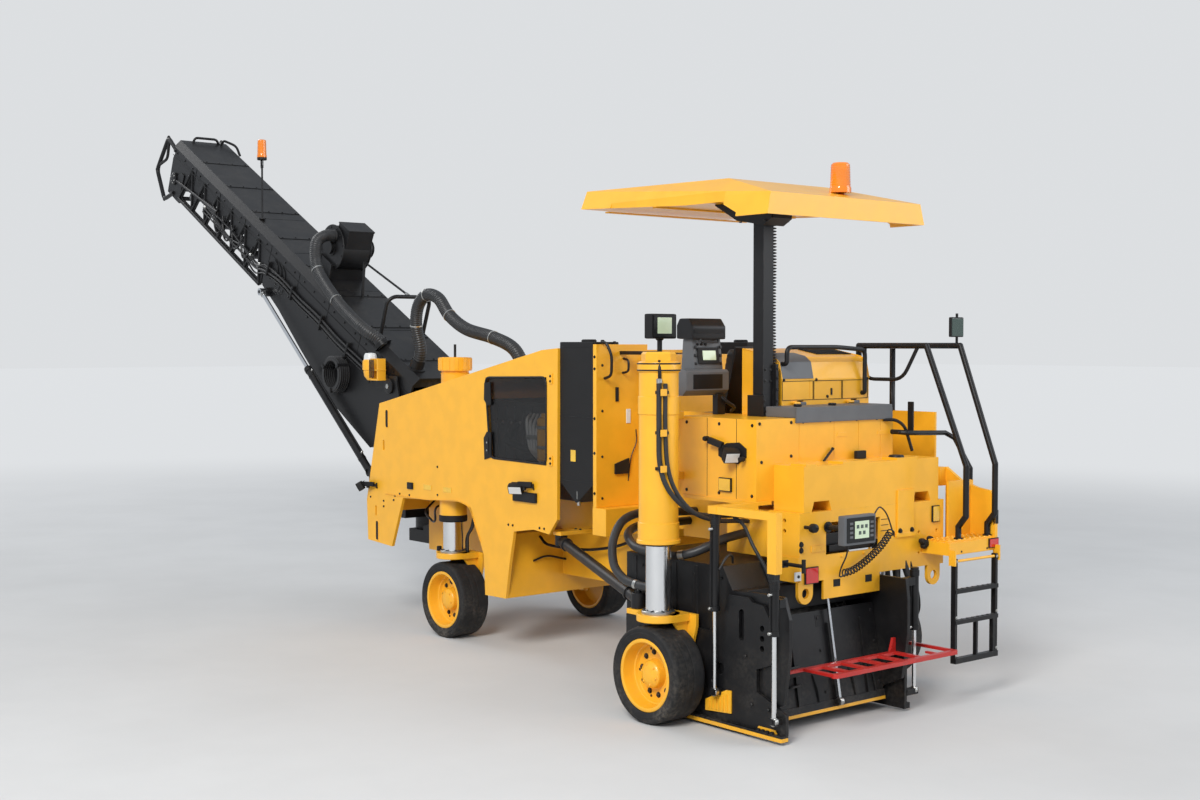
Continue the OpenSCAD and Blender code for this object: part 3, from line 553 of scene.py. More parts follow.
# Wheels and legs
TREAD = [(250.5, -128), (262, -134), (300, -139), (315, -136), (326, -124), (329.9, -104), (329.9, -38),
         (327, -33), (327, -27), (329.9, -22), (329.9, 22), (327, 27), (327, 33), (329.9, 38), (329.9, 104),
         (326, 124), (315, 136), (300, 139), (292, 136), (286, 139), (262, 134), (250.5, 128)]
DISH = [(0, 98), (46, 98), (52, 94), (70, 90), (88, 76), (94, 66), (96, 30), (100, 20), (108, 16), (186, 16),
        (190, 22), (196, 36), (204, 40), (212, 60), (219, 118), (222, 126), (228, 130), (240, 130),
        (247, 126), (249.5, 118), (249.5, -124), (240, -128), (226, -124), (219, -60), (210, -12), (100, -8),
        (61, -8), (61, 62), (0, 62)]
WHEELS = {"fl": (WHEELBASE, FRONT_Y, 1), "fr": (WHEELBASE, -FRONT_Y, -1), "rl": (0, REAR_LEFT_Y, 1),
          "rr": (0, REAR_RIGHT_Y, -1)}


def make_wheel(corner, x, y, out):
    """A solid tyre on a dished rim, with nuts in a ring and a bolted hub cap."""
    tyre = Piece(f"solid_tyre_{corner}", f"wheel_{corner}")
    tyre.turned(TREAD, (x, y, TYRE_R), (0, out, 0), RUBBER, 72, ring=True)
    tyre.done("tyre_rubber", f"tyre_{corner}")
    rim = Piece(f"dished_rim_{corner}", f"wheel_{corner}")
    rim.turned(DISH, (x, y, TYRE_R), (0, out, 0), YELLOW, 64)
    for count, radius, height, size, skin in ((10, 145, 16, 15, BLACK), (6, 70, 89, 7, YELLOW)):
        for a, b in around(count, radius, 0.25):
            rim.bolt((x + a, y + out * height, TYRE_R + b), (0, out, 0), skin, size)
    for a, b in around(5, 170):
        rim.turned([(9, -1), (9, 3), (6, 4)], (x + a, y + out * 16, TYRE_R + b), (0, out, 0), BLACK, 12)
    rim.done("yellow_paint", f"rim_{corner}")


def add_foot(piece, inner, reach):
    """The foot under a leg: round plate, fork plate on the inside, axle, and a bright bolted flange."""
    piece.turned([(0, 360), (146, 360), (150, 364), (150, 404), (146, 410), (0, 410)], ORIGIN, UP, YELLOW, 48)
    piece.block((-150, -inner, 360), (150, 0, 410), YELLOW)
    piece.prism("xz", [(-210, 410), (210, 410), (210, 330), (110, -20), (70, -75), (-70, -75), (-110, -20),
                       (-210, 330)], -inner - 26, -inner, YELLOW, 4)
    for x in (-120, 120):
        piece.prism("yz", [(-inner, 360), (-inner, 180), (-20, 360)], x - 9, x + 9, YELLOW, 2)
    piece.turned([(60, -inner - 40), (60, reach)], ORIGIN, LEFT, CAST, 32)
    piece.turned([(0, -inner - 44), (74, -inner - 44), (78, -inner - 40), (78, -inner - 26)], ORIGIN, LEFT,
                 YELLOW, 32)
    piece.turned(knob(115, 110, 426, 431, 404), ORIGIN, UP, ZINC, 40)
    for a, b in around(8, 101, 0.5):
        piece.bolt((a, b, 430), UP, BLACK, 8)


def make_front_leg(side, out):
    """A steered front leg: bright tube, dark wiper collar, foot and a steering arm with its pin."""
    leg = Piece(f"steered_leg_{side}", f"steer_{side}",
                place=lambda x, y, z: (WHEELBASE + x, out * (FRONT_Y + 13 + y), TYRE_R + z))
    leg.turned([(88, 405), (88, 1250)], ORIGIN, UP, CHROME, 48)
    add_foot(leg, 165, 48)
    leg.prism("xy", [(-40, -60), (60, -60), (235, -20), (250, 0), (235, 25), (60, 60), (-40, 60)], 375,
              400, YELLOW)
    leg.turned(knob(22, 18, 436, 440, 400), (222, 0, 0), UP, BLACK, 20)
    for run in ([(-75, -100, 400), (-75, -100, 560), (-120, -120, 620), (-110, -150, 720)],
                [(-45, -110, 400), (-45, -110, 540), (-90, -135, 620), (-85, -160, 720)]):
        leg.tube(rounded(run, 60), 13, HOSE)
    leg.done("chrome_rod", f"leg_f{side[0]}")


def make_swing_leg():
    """The outer leg, swung out: bright tube, barrel with a capped head, links, foot and hose clips."""
    leg = Piece("swing_leg_barrel", "chassis", place=lambda x, y, z: (x, REAR_LEFT_Y + y, TYRE_R + z))
    leg.turned([(88, 405), (88, 900)], ORIGIN, UP, CHROME, 48)
    leg.turned([(96, 872), (118, 876), (118, 888), (96, 888)], ORIGIN, UP, MATTE, 40)
    leg.turned([(89, 888), (146, 888), (150, 892), (150, 912), (146, 916), (135, 918), (135, 2040),
                (146, 2050), (146, 2100), (138, 2112), (120, 2118), (0, 2118)], ORIGIN, UP, YELLOW, 48)
    leg.turned(knob(118, 106, 2166, 2180, 2117), ORIGIN, UP, YELLOW, 8)
    for z in (2052, 2096):
        leg.turned(sleeve(146.5, 148, z, z + 10, 2), ORIGIN, UP, BLACK, 48)
    add_foot(leg, 152, 61.7)
    leg.block((100, -70, 375), (285, 40, 410), YELLOW, 4)
    for x in (130, 255):
        leg.bolt((x, -45, 410), UP, BLACK, 11)
    for z in (920, 1770):
        leg.tube([(0, 0, z + 50), (500, -390, z + 50)], 50, YELLOW, 28)
        leg.turned([(31, z), (76, z), (80, z + 4), (80, z + 96), (76, z + 100), (31, z + 100)],
                   (500, -390, 0), UP, YELLOW, 36, ring=True)
        leg.turned(sleeve(136, 141, z - 12, z + 112, 4), ORIGIN, UP, YELLOW, 48)
    leg.done("yellow_paint", "swing_leg")
    hoses = Piece("swing_leg_hoses", "chassis", place=lambda x, y, z: (x, REAR_LEFT_Y + y, z))
    hoses.tube(rounded([(-70, 60, 2452), (-100, 84, 2440), (-112, 92, 2380), (-112, 92, 2250)], 40),
               12, BLACK)
    for z in (2230, 1960, 1720):
        hoses.block((-150, 40, z), (-84, 108, z + 22), MATTE, 4)
        hoses.block((-158, 66, z - 12), (-150, 118, z + 34), YELLOW, 2)
    hoses.turned(sleeve(17, 20, 0, 33, 3), (-112, 96, 2300), UP, ZINC, 16)
    hoses.done("hose_rubber")


def make_swing_leg_hoses():
    """The two hoses that come down the outer leg's barrel and cross to the rear body."""
    runs = (("barrel_hose_front", 17, [(-110, 96, 2300), (-112, 98, 2000), (-118, 94, 1760), (-160, 60, 1600),
                                       (-200, -40, 1480), (-210, -160, 1420), (-200, -300, 1400),
                                       (-190, -500, 1385), (-190, -618, 1375)]),
            ("barrel_hose_rear", 15, [(-134, 60, 2300), (-136, 62, 2000), (-150, 52, 1740), (-190, 0, 1560),
                                      (-230, -120, 1430), (-240, -300, 1370), (-235, -500, 1350),
                                      (-235, -618, 1340)]))
    for name, radius, path in runs:
        hung(name, "chassis", [(x, REAR_LEFT_Y + y, z) for x, y, z in swept(path, 50)], radius, HOSE,
             sides=12)


def make_rear_right_leg():
    """The inner rear leg: bright tube and foot."""
    leg = Piece("rear_right_leg_tube", "chassis", place=lambda x, y, z: (x, REAR_RIGHT_Y - y, TYRE_R + z))
    add_foot(leg, 152, 61.7)
    leg.turned([(85, 405), (85, 1159.5)], ORIGIN, UP, CHROME, 48)
    leg.done("chrome_rod", "rear_right_leg")


def make_strut():
    """The strut from the front frame to the swung leg, with its eyes and pins."""
    strut = Piece("leg_strut_bar", "chassis")
    a, b = Vector((1850, 870, 1000)), Vector((230, 1470, 800))
    strut.tube([a, b], 42, BLACK, 28)
    for share in (0.08, 0.9):
        strut.turned(sleeve(43, 52, -16, 16, 4), a.lerp(b, share), b - a, BLACK, 28)
    strut.turned([(0, 960), (46, 960), (50, 964), (50, 1040), (46, 1044.5), (0, 1044.5)], (a.x, a.y, 0), UP,
                 BLACK, 28)
    strut.turned([(0, 740.4), (46, 740.4), (50, 744), (50, 846), (46, 850), (24, 850), (24, 862), (20, 866),
                  (0, 866)], (b.x, b.y, 0), UP, BLACK, 28)
    strut.turned([(0, 866), (15, 866), (15, 872), (0, 874)], (b.x, b.y, 0), UP, ZINC, 6)
    strut.done("black_paint", "leg_strut")


for corner, (x, y, out) in WHEELS.items():
    make_wheel(corner, x, y, out)
make_front_leg("left", 1)
make_front_leg("right", -1)
make_swing_leg()
make_rear_right_leg()
make_strut()


# Ducts and hoses
def corrugated(piece, points, radius, finish_, pitch=22, depth=4, sides=28):
    """A ribbed duct: the radius rises and falls along the path."""
    path = [Vector(p) for p in points]
    length = sum((b - a).length for a, b in zip(path, path[1:]))
    count = int(length / pitch * 4)
    fine = swept(path, count)
    piece.tube(fine, radius, finish_, sides,
               radii=[radius - depth * (0.5 + 0.5 * math.cos(math.tau * i / 4)) for i in range(count + 1)])


def clamp_band(piece, place, along, radius, width=14):
    """A bright band round a hose."""
    piece.turned(sleeve(radius, radius + 3, -width / 2, width / 2, 1), place, along, ZINC, 32)


def hung(name, body, points, radius, finish_, replaced=(), sides=10, ribs=0):
    """A hose or cable along the given points, ribbed if ribs is given; a ribbed one is not put on its body.
    """
    piece = Piece(name, body)
    if ribs:
        corrugated(piece, points, radius, finish_, depth=ribs)
        points = swept(points, 80)
    else:
        piece.tube(points, radius, finish_, sides)
    made = piece.done("hose_rubber", *replaced, ride=not ribs)
    return made


DUCT_START, DUCT_HELD = (4947, 225, 2334), (3560, 300, 2620)


def make_ducts():
    """The blower's duct down the conveyor, the duct to the hood, and the two hoses at the outer leg."""
    blower = [(6578, 173, 3702), (6577, 300, 3695), (6555, 415, 3600), (6440, 462, 3330), (6070, 460, 3010),
              (5700, 460, 2790), (5540, 432, 2694), (5462, 350, 2618), (5424, 300, 2545)]
    duct = Piece("blower_duct_ribbed", "conveyor")
    corrugated(duct, blower, 62, DUCT)
    for place, along in (((6440, 462, 3330), (-250, 0, -300)), ((6070, 460, 3010), (-370, 0, -250))):
        clamp_band(duct, place, along, 62)
    flange = [(64, 0), (96, 0), (96, 8), (70, 12), (70, 50), (64, 52)]
    duct.turned(flange, blower[-1], (0.5, 0.42, 0.86), BLACK, 32, ring=True)
    collar = [(62, -6), (90, -6), (90, 2), (70, 8), (70, 84), (62, 86)]
    duct.turned(collar, DUCT_START, (-0.46, 0, 0.89), BLACK, 32, ring=True)
    duct.done("hose_rubber", "boom_duct")
    hood = [DUCT_START, (4858, 232, 2500), (4860, 280, 2740), (4790, 300, 2930), (4640, 300, 3030),
            (4440, 300, 2990), (4260, 300, 2830), (3980, 300, 2700), DUCT_HELD, (3270, 300, 2530),
            (3133, 300, 2394), (3101, 300, 2253)]
    duct = hung("hood_duct_ribbed", "chassis", hood, 60, DUCT, ("hood_duct",), ribs=4)
    bands = Piece("hood_duct_clamps", "chassis")
    for place, along in (((4860, 280, 2740), (-35, 30, 215)), ((4640, 300, 3030), (-170, 0, 25)),
                         ((4260, 300, 2830), (-230, 0, -145)), (DUCT_HELD, (-340, 0, -85))):
        clamp_band(bands, place, along, 60)
    for piece in (duct, bands.done("worn_steel", ride=False)):
        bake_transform(piece)
    supply = [(750, 441, 1300), (750, 700, 1310), (740, 950, 1330), (700, 1200, 1290), (640, 1350, 1160),
              (540, 1430, 1010), (390, 1470, 930), (230, 1486, 905), (90, 1490, 900)]
    backflow = [(820, 441, 1220), (820, 700, 1220), (790, 950, 1228), (680, 1175, 1195), (450, 1312, 1135),
                (190, 1344, 1112), (50, 1340, 1112), (-46, 1321, 1125), (-127, 1267, 1150),
                (-181, 1186, 1190), (-200, 1080, 1228), (-200, 864, 1255)]
    for name, path in (("leg_supply_hose", supply), ("leg_return_hose", backflow)):
        hung(name, "chassis", swept(path, 90), 31, DUCT, ("leg_hose",), 20)
    bands = Piece("leg_hose_clamps", "chassis")
    clamp_band(bands, (230, 1486, 905), (-150, 10, -12), 31, 30)
    clamp_band(bands, (-46, 1321, 1125), (-96, -36, 20), 31, 40)
    bands.done("worn_steel")


make_ducts()
make_swing_leg_hoses()


# Small parts used in many places
def lamp_head(piece, foot, head, aim, wide=120, tall=70, deep=60):
    """A work lamp on a short arm: foot plate, arm with a wing knob, finned housing and pale lens."""
    foot, head, aim = Vector(foot), Vector(head), Vector(aim).normalized()
    away = (head - foot).normalized()
    piece.turned(knob(26, 20, 7, 10), foot, away, MATTE, 20)
    piece.tube([foot, head - aim * deep * 0.4], 11, MATTE, 12)
    piece.turned(disc(17, -18, 18, 2, 6), foot.lerp(head, 0.55), UP, MATTE, 14)
    piece.slab(head, aim, (deep, wide, tall), MATTE, 12)
    for k in range(4):
        fin = head - aim * (deep * 0.5 + 5) + Vector((0, 0, (k - 1.5) * tall * 0.25))
        piece.slab(fin, aim, (14, wide * 0.8, 4), MATTE, 1)
    piece.slab(head + aim * deep * 0.5, aim, (6, wide * 0.86, tall * 0.78), WHITE, 3)


def reflector(piece, low, high, lens):
    """A small lens in a dark frame."""
    low, high = Vector(low), Vector(high)
    thin = min(range(3), key=lambda i: abs(high[i] - low[i]))
    piece.block(low, high, MATTE, 3)
    sign = 1 if high[thin] > low[thin] else -1
    a, b = low.copy(), high.copy()
    for i in range(3):
        if i != thin:
            inset = math.copysign(6, high[i] - low[i])
            a[i], b[i] = low[i] + inset, high[i] - inset
    a[thin], b[thin] = high[thin] - sign * 2, high[thin] + sign * 3
    piece.block(a, b, lens, 2)


def bolts(piece, places, axis, skin, radius=11):
    """The same bolt at each place."""
    for place in places:
        piece.bolt(place, axis, skin, radius)


def curl(points, radius, turns, per_turn=10):
    """A helix round a smooth path."""
    path = swept(points, turns * per_turn)
    out, normal = [], None
    for i, p in enumerate(path):
        ahead = (path[min(i + 1, len(path) - 1)] - path[max(i - 1, 0)]).normalized()
        normal = normal or ahead.orthogonal().normalized()
        normal = (normal - ahead * normal.dot(ahead)).normalized()
        a = math.tau * i / per_turn
        out.append(p + (normal * math.cos(a) + ahead.cross(normal) * math.sin(a)) * radius)
    return out


def oval(x, z, half, radius, steps=8):
    """The outline of an upright slot with round ends."""
    angles = [math.pi * k / steps for k in range(steps + 1)]
    top = [(x + radius * math.cos(a), z + half + radius * math.sin(a)) for a in angles]
    low = [(x - radius * math.cos(a), z - half - radius * math.sin(a)) for a in angles]
    return top + low


# Front body
def make_front_sides():
    """Window frames, hinges, blank plates, bolts, slots, folding lamps, head lamps and reflectors."""
    side = Piece("front_side_fittings", "chassis", mirror=True)
    opening = [(1900, 1610), (2660, 1620), (2730, 2285), (1900, 2300), (1900, 1610), (2000, 1612)]
    side.tube(rounded([(x, 981, z) for x, z in opening], 60), 9, MATTE, 8)
    side.prism("xz", [(2640, 1625), (2735, 1600), (2745, 1780), (2700, 1835), (2640, 1830)], 979, 990,
               MATTE, 4)
    side.prism("xz", [(2640, 2060), (2690, 2050), (2740, 2100), (2735, 2240), (2650, 2250)], 979, 990,
               MATTE, 4)
    side.block((2672, 990, 1650), (2712, 994, 1790), BLACK, 1)
    for z in (1680, 1745):
        side.bolt((2692, 994, z), LEFT, ZINC, 6)
    for z in (1640, 2290):
        side.prism("xz", [(1818, z - 42), (1862, z - 42), (1862, z + 42), (1818, z + 42)], SIDE, 988,
                   YELLOW, 3)
        bolts(side, [(1840, 988, z - 20), (1840, 988, z + 20)], LEFT, BLACK, 8)
    side.block((3835, SIDE, 1270), (3925, 992, 1330), MATTE, 4)
    side.block((3846, 992, 1280), (3914, 995, 1320), BLACK, 2)
    panel_bolts = ((3449, 1495), (3449, 1250), (4162, 1150), (4140, 1190), (4333, 1080), (4333, 1130),
                   (4560, 1150), (2410, 1085), (2350, 1085), (1990, 1095), (1930, 1095), (4060, 1215),
                   (3900, 1215))
    bolts(side, [(x, SIDE, z) for x, z in panel_bolts], LEFT, BLACK, 8)
    for x in (3606, 3294):
        side.block((x - 60, SIDE, 1282), (x + 60, 984, 1328), YELLOW_LENS, 2)
    side.tube(rounded([(4300, 985, 1196), (3600, 985, 1196), (3130, 985, 1228), (2960, 985, 1188),
                       (2800, 985, 905)], 60), 3, YELLOW, 6)
    for x, z, half in ((4273, 1884, 62), (4449, 849, 70)):
        side.prism("xz", oval(x, z, half, 21), 979, 982, MATTE, 1)
        low, high = z - half - 20, z + half + 20
        rim = [(x - 24, low), (x + 24, low), (x + 24, high), (x - 24, high), (x - 24, low), (x, low)]
        side.tube(rounded([(a, 981, b) for a, b in rim], 22), 4, YELLOW, 6)
    side.done("black_plastic")
    lamps = Piece("front_side_lamps", "chassis")
    folding = (((2060, 981, 1420), (2200, 1060, 1400), (-0.5, 0.75, -0.5), (2120, 1030, 1440)),
               ((4440, 981, 1262), (4610, 1060, 1250), (0.55, 0.7, -0.5), (4520, 1030, 1275)))
    for foot, head, aim, arm in folding:
        lamp_head(lamps, foot, head, aim, 120, 80, 55)
        lamps.slab(arm, (1, 0.4, 0), (130, 26, 40), MATTE, 8)
    lamps.done("black_plastic")
    plates = Piece("side_plates_and_lenses", "chassis")
    for sign in (1, -1):
        plates.block((2020, sign * 980.3, 1290), (2330, sign * 998, 1370), MATTE, 3)
        plates.block((2032, sign * 998, 1300), (2318, sign * 999.5, 1360), BLACK, 1)
        place = (4598, sign * 800, 1180)
        rim = [(60, 0), (62, 4), (62, 70), (56, 78), (48, 80), (44, 74), (0, 70)]
        plates.turned(rim, place, AHEAD, MATTE, 28)
        plates.turned([(44, 70), (40, 84), (22, 90), (0, 91)], place, AHEAD, WHITE, 28)
    reflector(plates, (-700.3, 676, 948), (-714, 806, 1062), RED_LENS)
    reflector(plates, (-950.3, -987, 1078), (-964, -875, 1149), RED_LENS)
    reflector(plates, (-190, 980.3, 1545), (-70, 996, 1640), YELLOW_LENS)
    reflector(plates, (-700.3, -620, 1270), (-714, -540, 1390), YELLOW_LENS)
    plates.done("lamp_glass", "lamps")


def make_window_panes():
    """Tinted mesh panes in both side windows, with the engine's parts faintly seen behind."""
    panes = Piece("window_mesh_panes", "chassis", mirror=True)
    panes.prism("xz", [(1901, 1611), (2659, 1621), (2729, 2284), (1901, 2299)], 962, 970, MESH, 1)
    panes.done("window_mesh", "windows")


def make_engine_parts():
    """What shows through the panes: a filter canister, pale hoses, a bracket and ribs on the engine."""
    parts = Piece("engine_side_parts", "chassis", mirror=True)
    parts.turned([(0, 0), (84, 0), (92, 12), (92, 330), (84, 344), (60, 350), (60, 380), (0, 384)],
                 (2040, 850, 1625), UP, YELLOW, 36)
    for z in (1720, 1880):
        parts.turned(sleeve(92, 97, 0, 28, 3), (2040, 850, z), UP, ZINC, 36)
    for k in range(4):
        parts.tube(swept([(2160 + 34 * k, 760, 1600), (2170 + 30 * k, 860, 1700), (2150 + 40 * k, 880, 1800),
                          (2190 + 46 * k, 850, 1880 + 20 * k), (2300 + 50 * k, 720, 1980)], 24), 13,
                   WHITE, 10)
        parts.turned(sleeve(13, 22, 0, 38, 4), (2150 + 40 * k, 880, 1786), UP, ZINC, 12)
    parts.block((1960, 702, 1600), (2420, 760, 1624), BLACK, 4)
    for k in range(6):
        parts.block((2440 + 120 * k, 701, 1400), (2470 + 120 * k, 716, 2040), CAST, 4)
    parts.tube(rounded([(2330, 720, 1700), (2330, 860, 1700), (2620, 860, 1760), (2640, 720, 1900)], 60), 30,
               MATTE, 16)
    bolts(parts, [(2500 + 120 * k, 701, z) for k in range(5) for z in (1500, 1900)], LEFT, ZINC, 12)
    parts.done("cast_engine")


def make_tanks():
    """Two tall moulded tanks with pointed bottoms, rounded corners, a drain and a reflector."""
    tank = Piece("side_tank_shells", "chassis", mirror=True)
    tank.prism("xz", [(1345, 1480), (1540, 1331), (1560, 1331), (1754, 1480), (1754, 2579), (1345, 2579)],
               700, 959, MATTE, 42)
    tank.turned(knob(60, 50, 18, 26), (1550, 830, 2573), UP, MATTE, 24)
    tank.done("black_plastic", "side_tanks")
    details = Piece("side_tank_details", "chassis", mirror=True)
    details.block((1556, 958, 1650), (1616, 962, 1740), YELLOW_LENS, 2)
    details.tube([(1540, 940, 1345), (1540, 940, 1310)], 14, ZINC, 12)
    details.tube([(1540, 952, 1360), (1540, 952, 1420)], 8, ZINC, 10)
    for z in (1500, 2000, 2540):
        details.block((1346, 957, z - 3), (1752, 960.5, z + 3), BLACK, 1)
    details.done("worn_steel")


def make_mid_column():
    """Bolts, slots and a looped cable on the column behind the tank."""
    column = Piece("column_fittings", "chassis")
    bolts(column, [(1324, 960, z) for z in (2464, 2373, 1993, 1728, 1420)], LEFT, BLACK, 9)
    column.prism("yz", [(740, 2120), (770, 2120), (770, 2230), (740, 2230)], 1296, 1304.5, MATTE, 3)
    column.prism("yz", [(640, 1560), (780, 1560), (780, 1640), (640, 1680)], 1285, 1304.5, MATTE, 5)
    column.prism("yz", [(620, 1950), (660, 1950), (660, 2060), (620, 2060)], 1297, 1304.5, WHITE, 3)
    column.tube(rounded([(1300, 880, 2300), (1220, 880, 2320), (1215, 880, 2480), (1260, 900, 2575),
                         (1310, 905, 2575)], 60), 11, BLACK, 10)
    column.tube(rounded([(1300, 700, 2340), (1240, 690, 2350), (1240, 690, 2440), (1300, 690, 2450)], 30), 9,
                BLACK, 8)
    column.turned(knob(16, 10, 30, 36), (1325, 880, 2559), UP, BLACK, 14)
    column.turned([(0, 0), (12, 0), (12, 24), (0, 26)], (1325, 760, 2559), UP, BLACK, 14)
    column.tube(rounded([(1303, 560, 1900), (1290, 560, 1800), (1292, 620, 1700), (1303, 640, 1500)], 60), 4,
                BLACK, 6)
    bolts(column, [(1304, y, z) for y in (500, 900) for z in (1380, 1700, 2050, 2400)], BACK, BLACK, 8)
    column.done("black_plastic")


def make_filler():
    """The filler's collar, ribbed cap and the thin rod beside it."""
    cap = Piece("filler_neck_and_cap", "chassis")
    centre = (3877, 500, 2036)
    cap.turned([(125.5, 60), (128, 64), (128, 250), (132, 262), (125.5, 268)], centre, UP, YELLOW, 40)
    for a, b in around(12, 148):
        cap.slab((centre[0] + a, centre[1] + b, centre[2] + 345), (a, b, 0), (12, 40, 104), YELLOW, 4)
    cap.turned([(0, 404), (120, 404), (120, 407), (0, 409)], centre, UP, YELLOW, 36)
    cap.tube([(3980, 430, 2380), (3980, 430, 2560)], 12, BLACK, 10)
    cap.done("yellow_paint")


def make_front_underside():
    """Hoses and collars at the legs, bolts, and the hoses across the frame under the front body."""
    low = Piece("front_underside_fittings", "chassis")
    for sign in (1, -1):
        low.tube(rounded([(3700, sign * 600, 1160), (3640, sign * 780, 1150), (3620, sign * 900, 1120),
                          (3600, sign * 900, 1010), (3700, sign * 860, 980), (3880, sign * 840, 1060),
                          (3900, sign * 700, 1160)], 60), 10, BLACK, 8)
        collar = [(89, 1012), (118, 1012), (124, 1020), (124, 1062), (116, 1070)]
        low.turned(collar, (WHEELBASE, sign * 823, 0), UP, MATTE, 40)
        bolts(low, [(1820, sign * 700, 1075), (1880, sign * 700, 1075)], UP, BLACK, 10)
    low.tube(swept([(2440, 700, 760), (2420, 560, 790), (2410, 300, 740), (2420, 0, 790), (2430, -300, 745),
                    (2430, -520, 780)], 40), 9, BLACK, 8)
    low.tube(swept([(2430, 640, 960), (2300, 640, 900), (2000, 500, 880), (1700, 440, 930),
                    (1500, 420, 1000)], 40), 12, BLACK, 8)
    low.done("hose_rubber")


make_front_sides()
make_window_panes()
make_engine_parts()
make_tanks()
make_mid_column()
make_filler()
make_front_underside()


# Rear body
def make_rear_fittings():
    """Mirror, control box with its lit screen, knobs and the left work lamp."""
    box = Piece("rear_control_box", "chassis")
    box.tube([(-600, -950, 2568.5), (-600, -950, 2790)], 10, BLACK, 12)
    box.slab((-613, -925, 2688), AHEAD, (26, 148, 148), MATTE, 12)
    box.block((-628, -990, 2622), (-624, -860, 2752), SCREEN, 2)
    box.turned(disc(18, -14, 14), (-600, -950, 2690), UP, MATTE, 14)
    box.block((-996, 421, 1228), (-936, 739, 1428), GREY, 16)
    box.block((-1000, 440, 1246), (-990, 716, 1412), MATTE, 8)
    box.block((-1003, 500, 1272), (-998, 640, 1388), DISPLAY, 2)
    for z in (1285, 1315, 1345, 1375):
        for y in (455, 660):
            box.block((-1003, y, z - 8), (-999, y + 30, z + 8), GREY, 2)
    for y, z in ((530, 1352), (572, 1352), (614, 1352), (551, 1310), (593, 1310)):
        box.block((-1005, y - 12, z - 12), (-1002, y + 12, z + 12), SCREEN, 1)
    box.block((-936, 540, 1290), (-925, 620, 1350), GREY, 4)
    box.tube([(-930, 580, 1320), (-700.5, 580, 1320)], 19, BLACK, 16)
    box.turned([(0, 0), (34, 0), (38, 6), (38, 14), (0, 14)], (-700.5, 580, 1320), BACK, BLACK, 20)
    box.tube([(-700, 800, 1335), (-760, 800, 1335)], 12, BLACK, 12)
    box.turned([(14, 0), (30, 8), (33, 26), (28, 48), (10, 58), (0, 58)], (-755, 800, 1335), (-1, 0.1, 0),
               BLACK, 20)
    for y in (120, 480):
        box.turned([(0, 0), (26, 0), (30, 8), (28, 16), (0, 18)], (-330, y, 2125.5), UP, MATTE, 20)
    box.prism("xz", [(-330, 1790), (-250, 1740), (-120, 1760), (-60, 1790), (-60, 1840), (-140, 1880),
                     (-260, 1890), (-330, 1850)], 980.5, 990, MATTE, 6)
    lamp_head(box, (-120, 985, 1845), (-240, 1042, 1800), (-0.8, 0.35, -0.5), 110, 90, 60)
    box.slab((-60, 1015, 1880), (1, 0.2, 0.3), (120, 34, 46), MATTE, 10)
    for x, z in ((30, 1905), (-320, 1780)):
        box.turned(disc(18, -22, 22, 3, 8), (x, 1020, z), LEFT, MATTE, 14)
    box.done("grey_paint", "fittings")


def make_rear_lever_work():
    """The T lever, bolts, blank plates, window interior, lower plate and black lamp over the bumper."""
    rear = Piece("bumper_fittings", "chassis")
    bolts(rear, [(REAR, 836, 1220), (REAR, 836, 1180), (REAR - 12, -175, 1235), (REAR - 12, -305, 1235)],
          BACK, BLACK, 15)
    bolts(rear, [(REAR, y, z) for y, z in ((702, 1180), (640, 1180), (200, 1110), (430, 1110), (90, 1110))],
          BACK, YELLOW, 10)
    rear.block((-706, 610, 1158), (-700, 740, 1202), YELLOW, 3)
    rear.tube([(-700, 985, 1105), (-860, 985, 1105)], 13, BLACK, 12)
    rear.tube([(-862, 985, 1060), (-862, 985, 1150)], 14, BLACK, 12)
    rear.block((-704, 960, 1080), (-690, 1012, 1130), BLACK, 4)
    rear.block((-480, 850, 1090), (-700, 860, 1130), YELLOW, 3)
    rear.block((-716, 850, 980), (-702, 905, 1040), WHITE, 3)
    rear.turned([(0, 0), (11, 0), (11, 4), (0, 5)], (-716, 878, 1010), BACK, MATTE, 14)
    rear.block((-640, 34, 1132), (-560, 490, 1180), BLACK, 6)
    rear.block((-620, 34, 1180), (-520, 300, 1300), MATTE, 10)
    rear.block((-610, 330, 1180), (-510, 492, 1260), BLACK, 10)
    for y in (80, 160, 240):
        rear.tube([(-622, y, 1200), (-622, y, 1290)], 8, ZINC, 8)
    for y in (150, 480):
        rear.prism("yz", [(y - 34, 905), (y + 34, 905), (y + 34, 955), (y - 34, 955)], -703, -699, MATTE, 2)
    rear.turned([(0, 0), (52, 0), (58, 10), (50, 26), (0, 30)], (-640, -215, 1745), UP, BLACK, 24)
    rear.block((-716, -345, 1190), (-699, -135, 1222), YELLOW, 4)
    rear.slab((-745, -470, 1120), (0, 1, 0.25), (170, 60, 46), MATTE, 16)
    rear.slab((-762, -560, 1098), (-0.4, -0.9, -0.3), (130, 80, 62), MATTE, 22)
    rear.slab((-768, -620, 1078), (-0.4, -0.9, -0.5), (12, 66, 46), WHITE, 4)
    for y, z in ((-380, 1150), (-400, 1112), (-470, 1160)):
        rear.turned(disc(20, -20, 20, 4, 8), (-745, y, z), AHEAD, MATTE, 14)
    rear.tube([(-700, -430, 1130), (-745, -430, 1130)], 13, MATTE, 12)
    for z in (1250, 1290, 1330):
        rear.block((-702, -60, z - 2), (-699, 20, z + 2), MATTE, 0.5)
    rear.done("black_plastic")


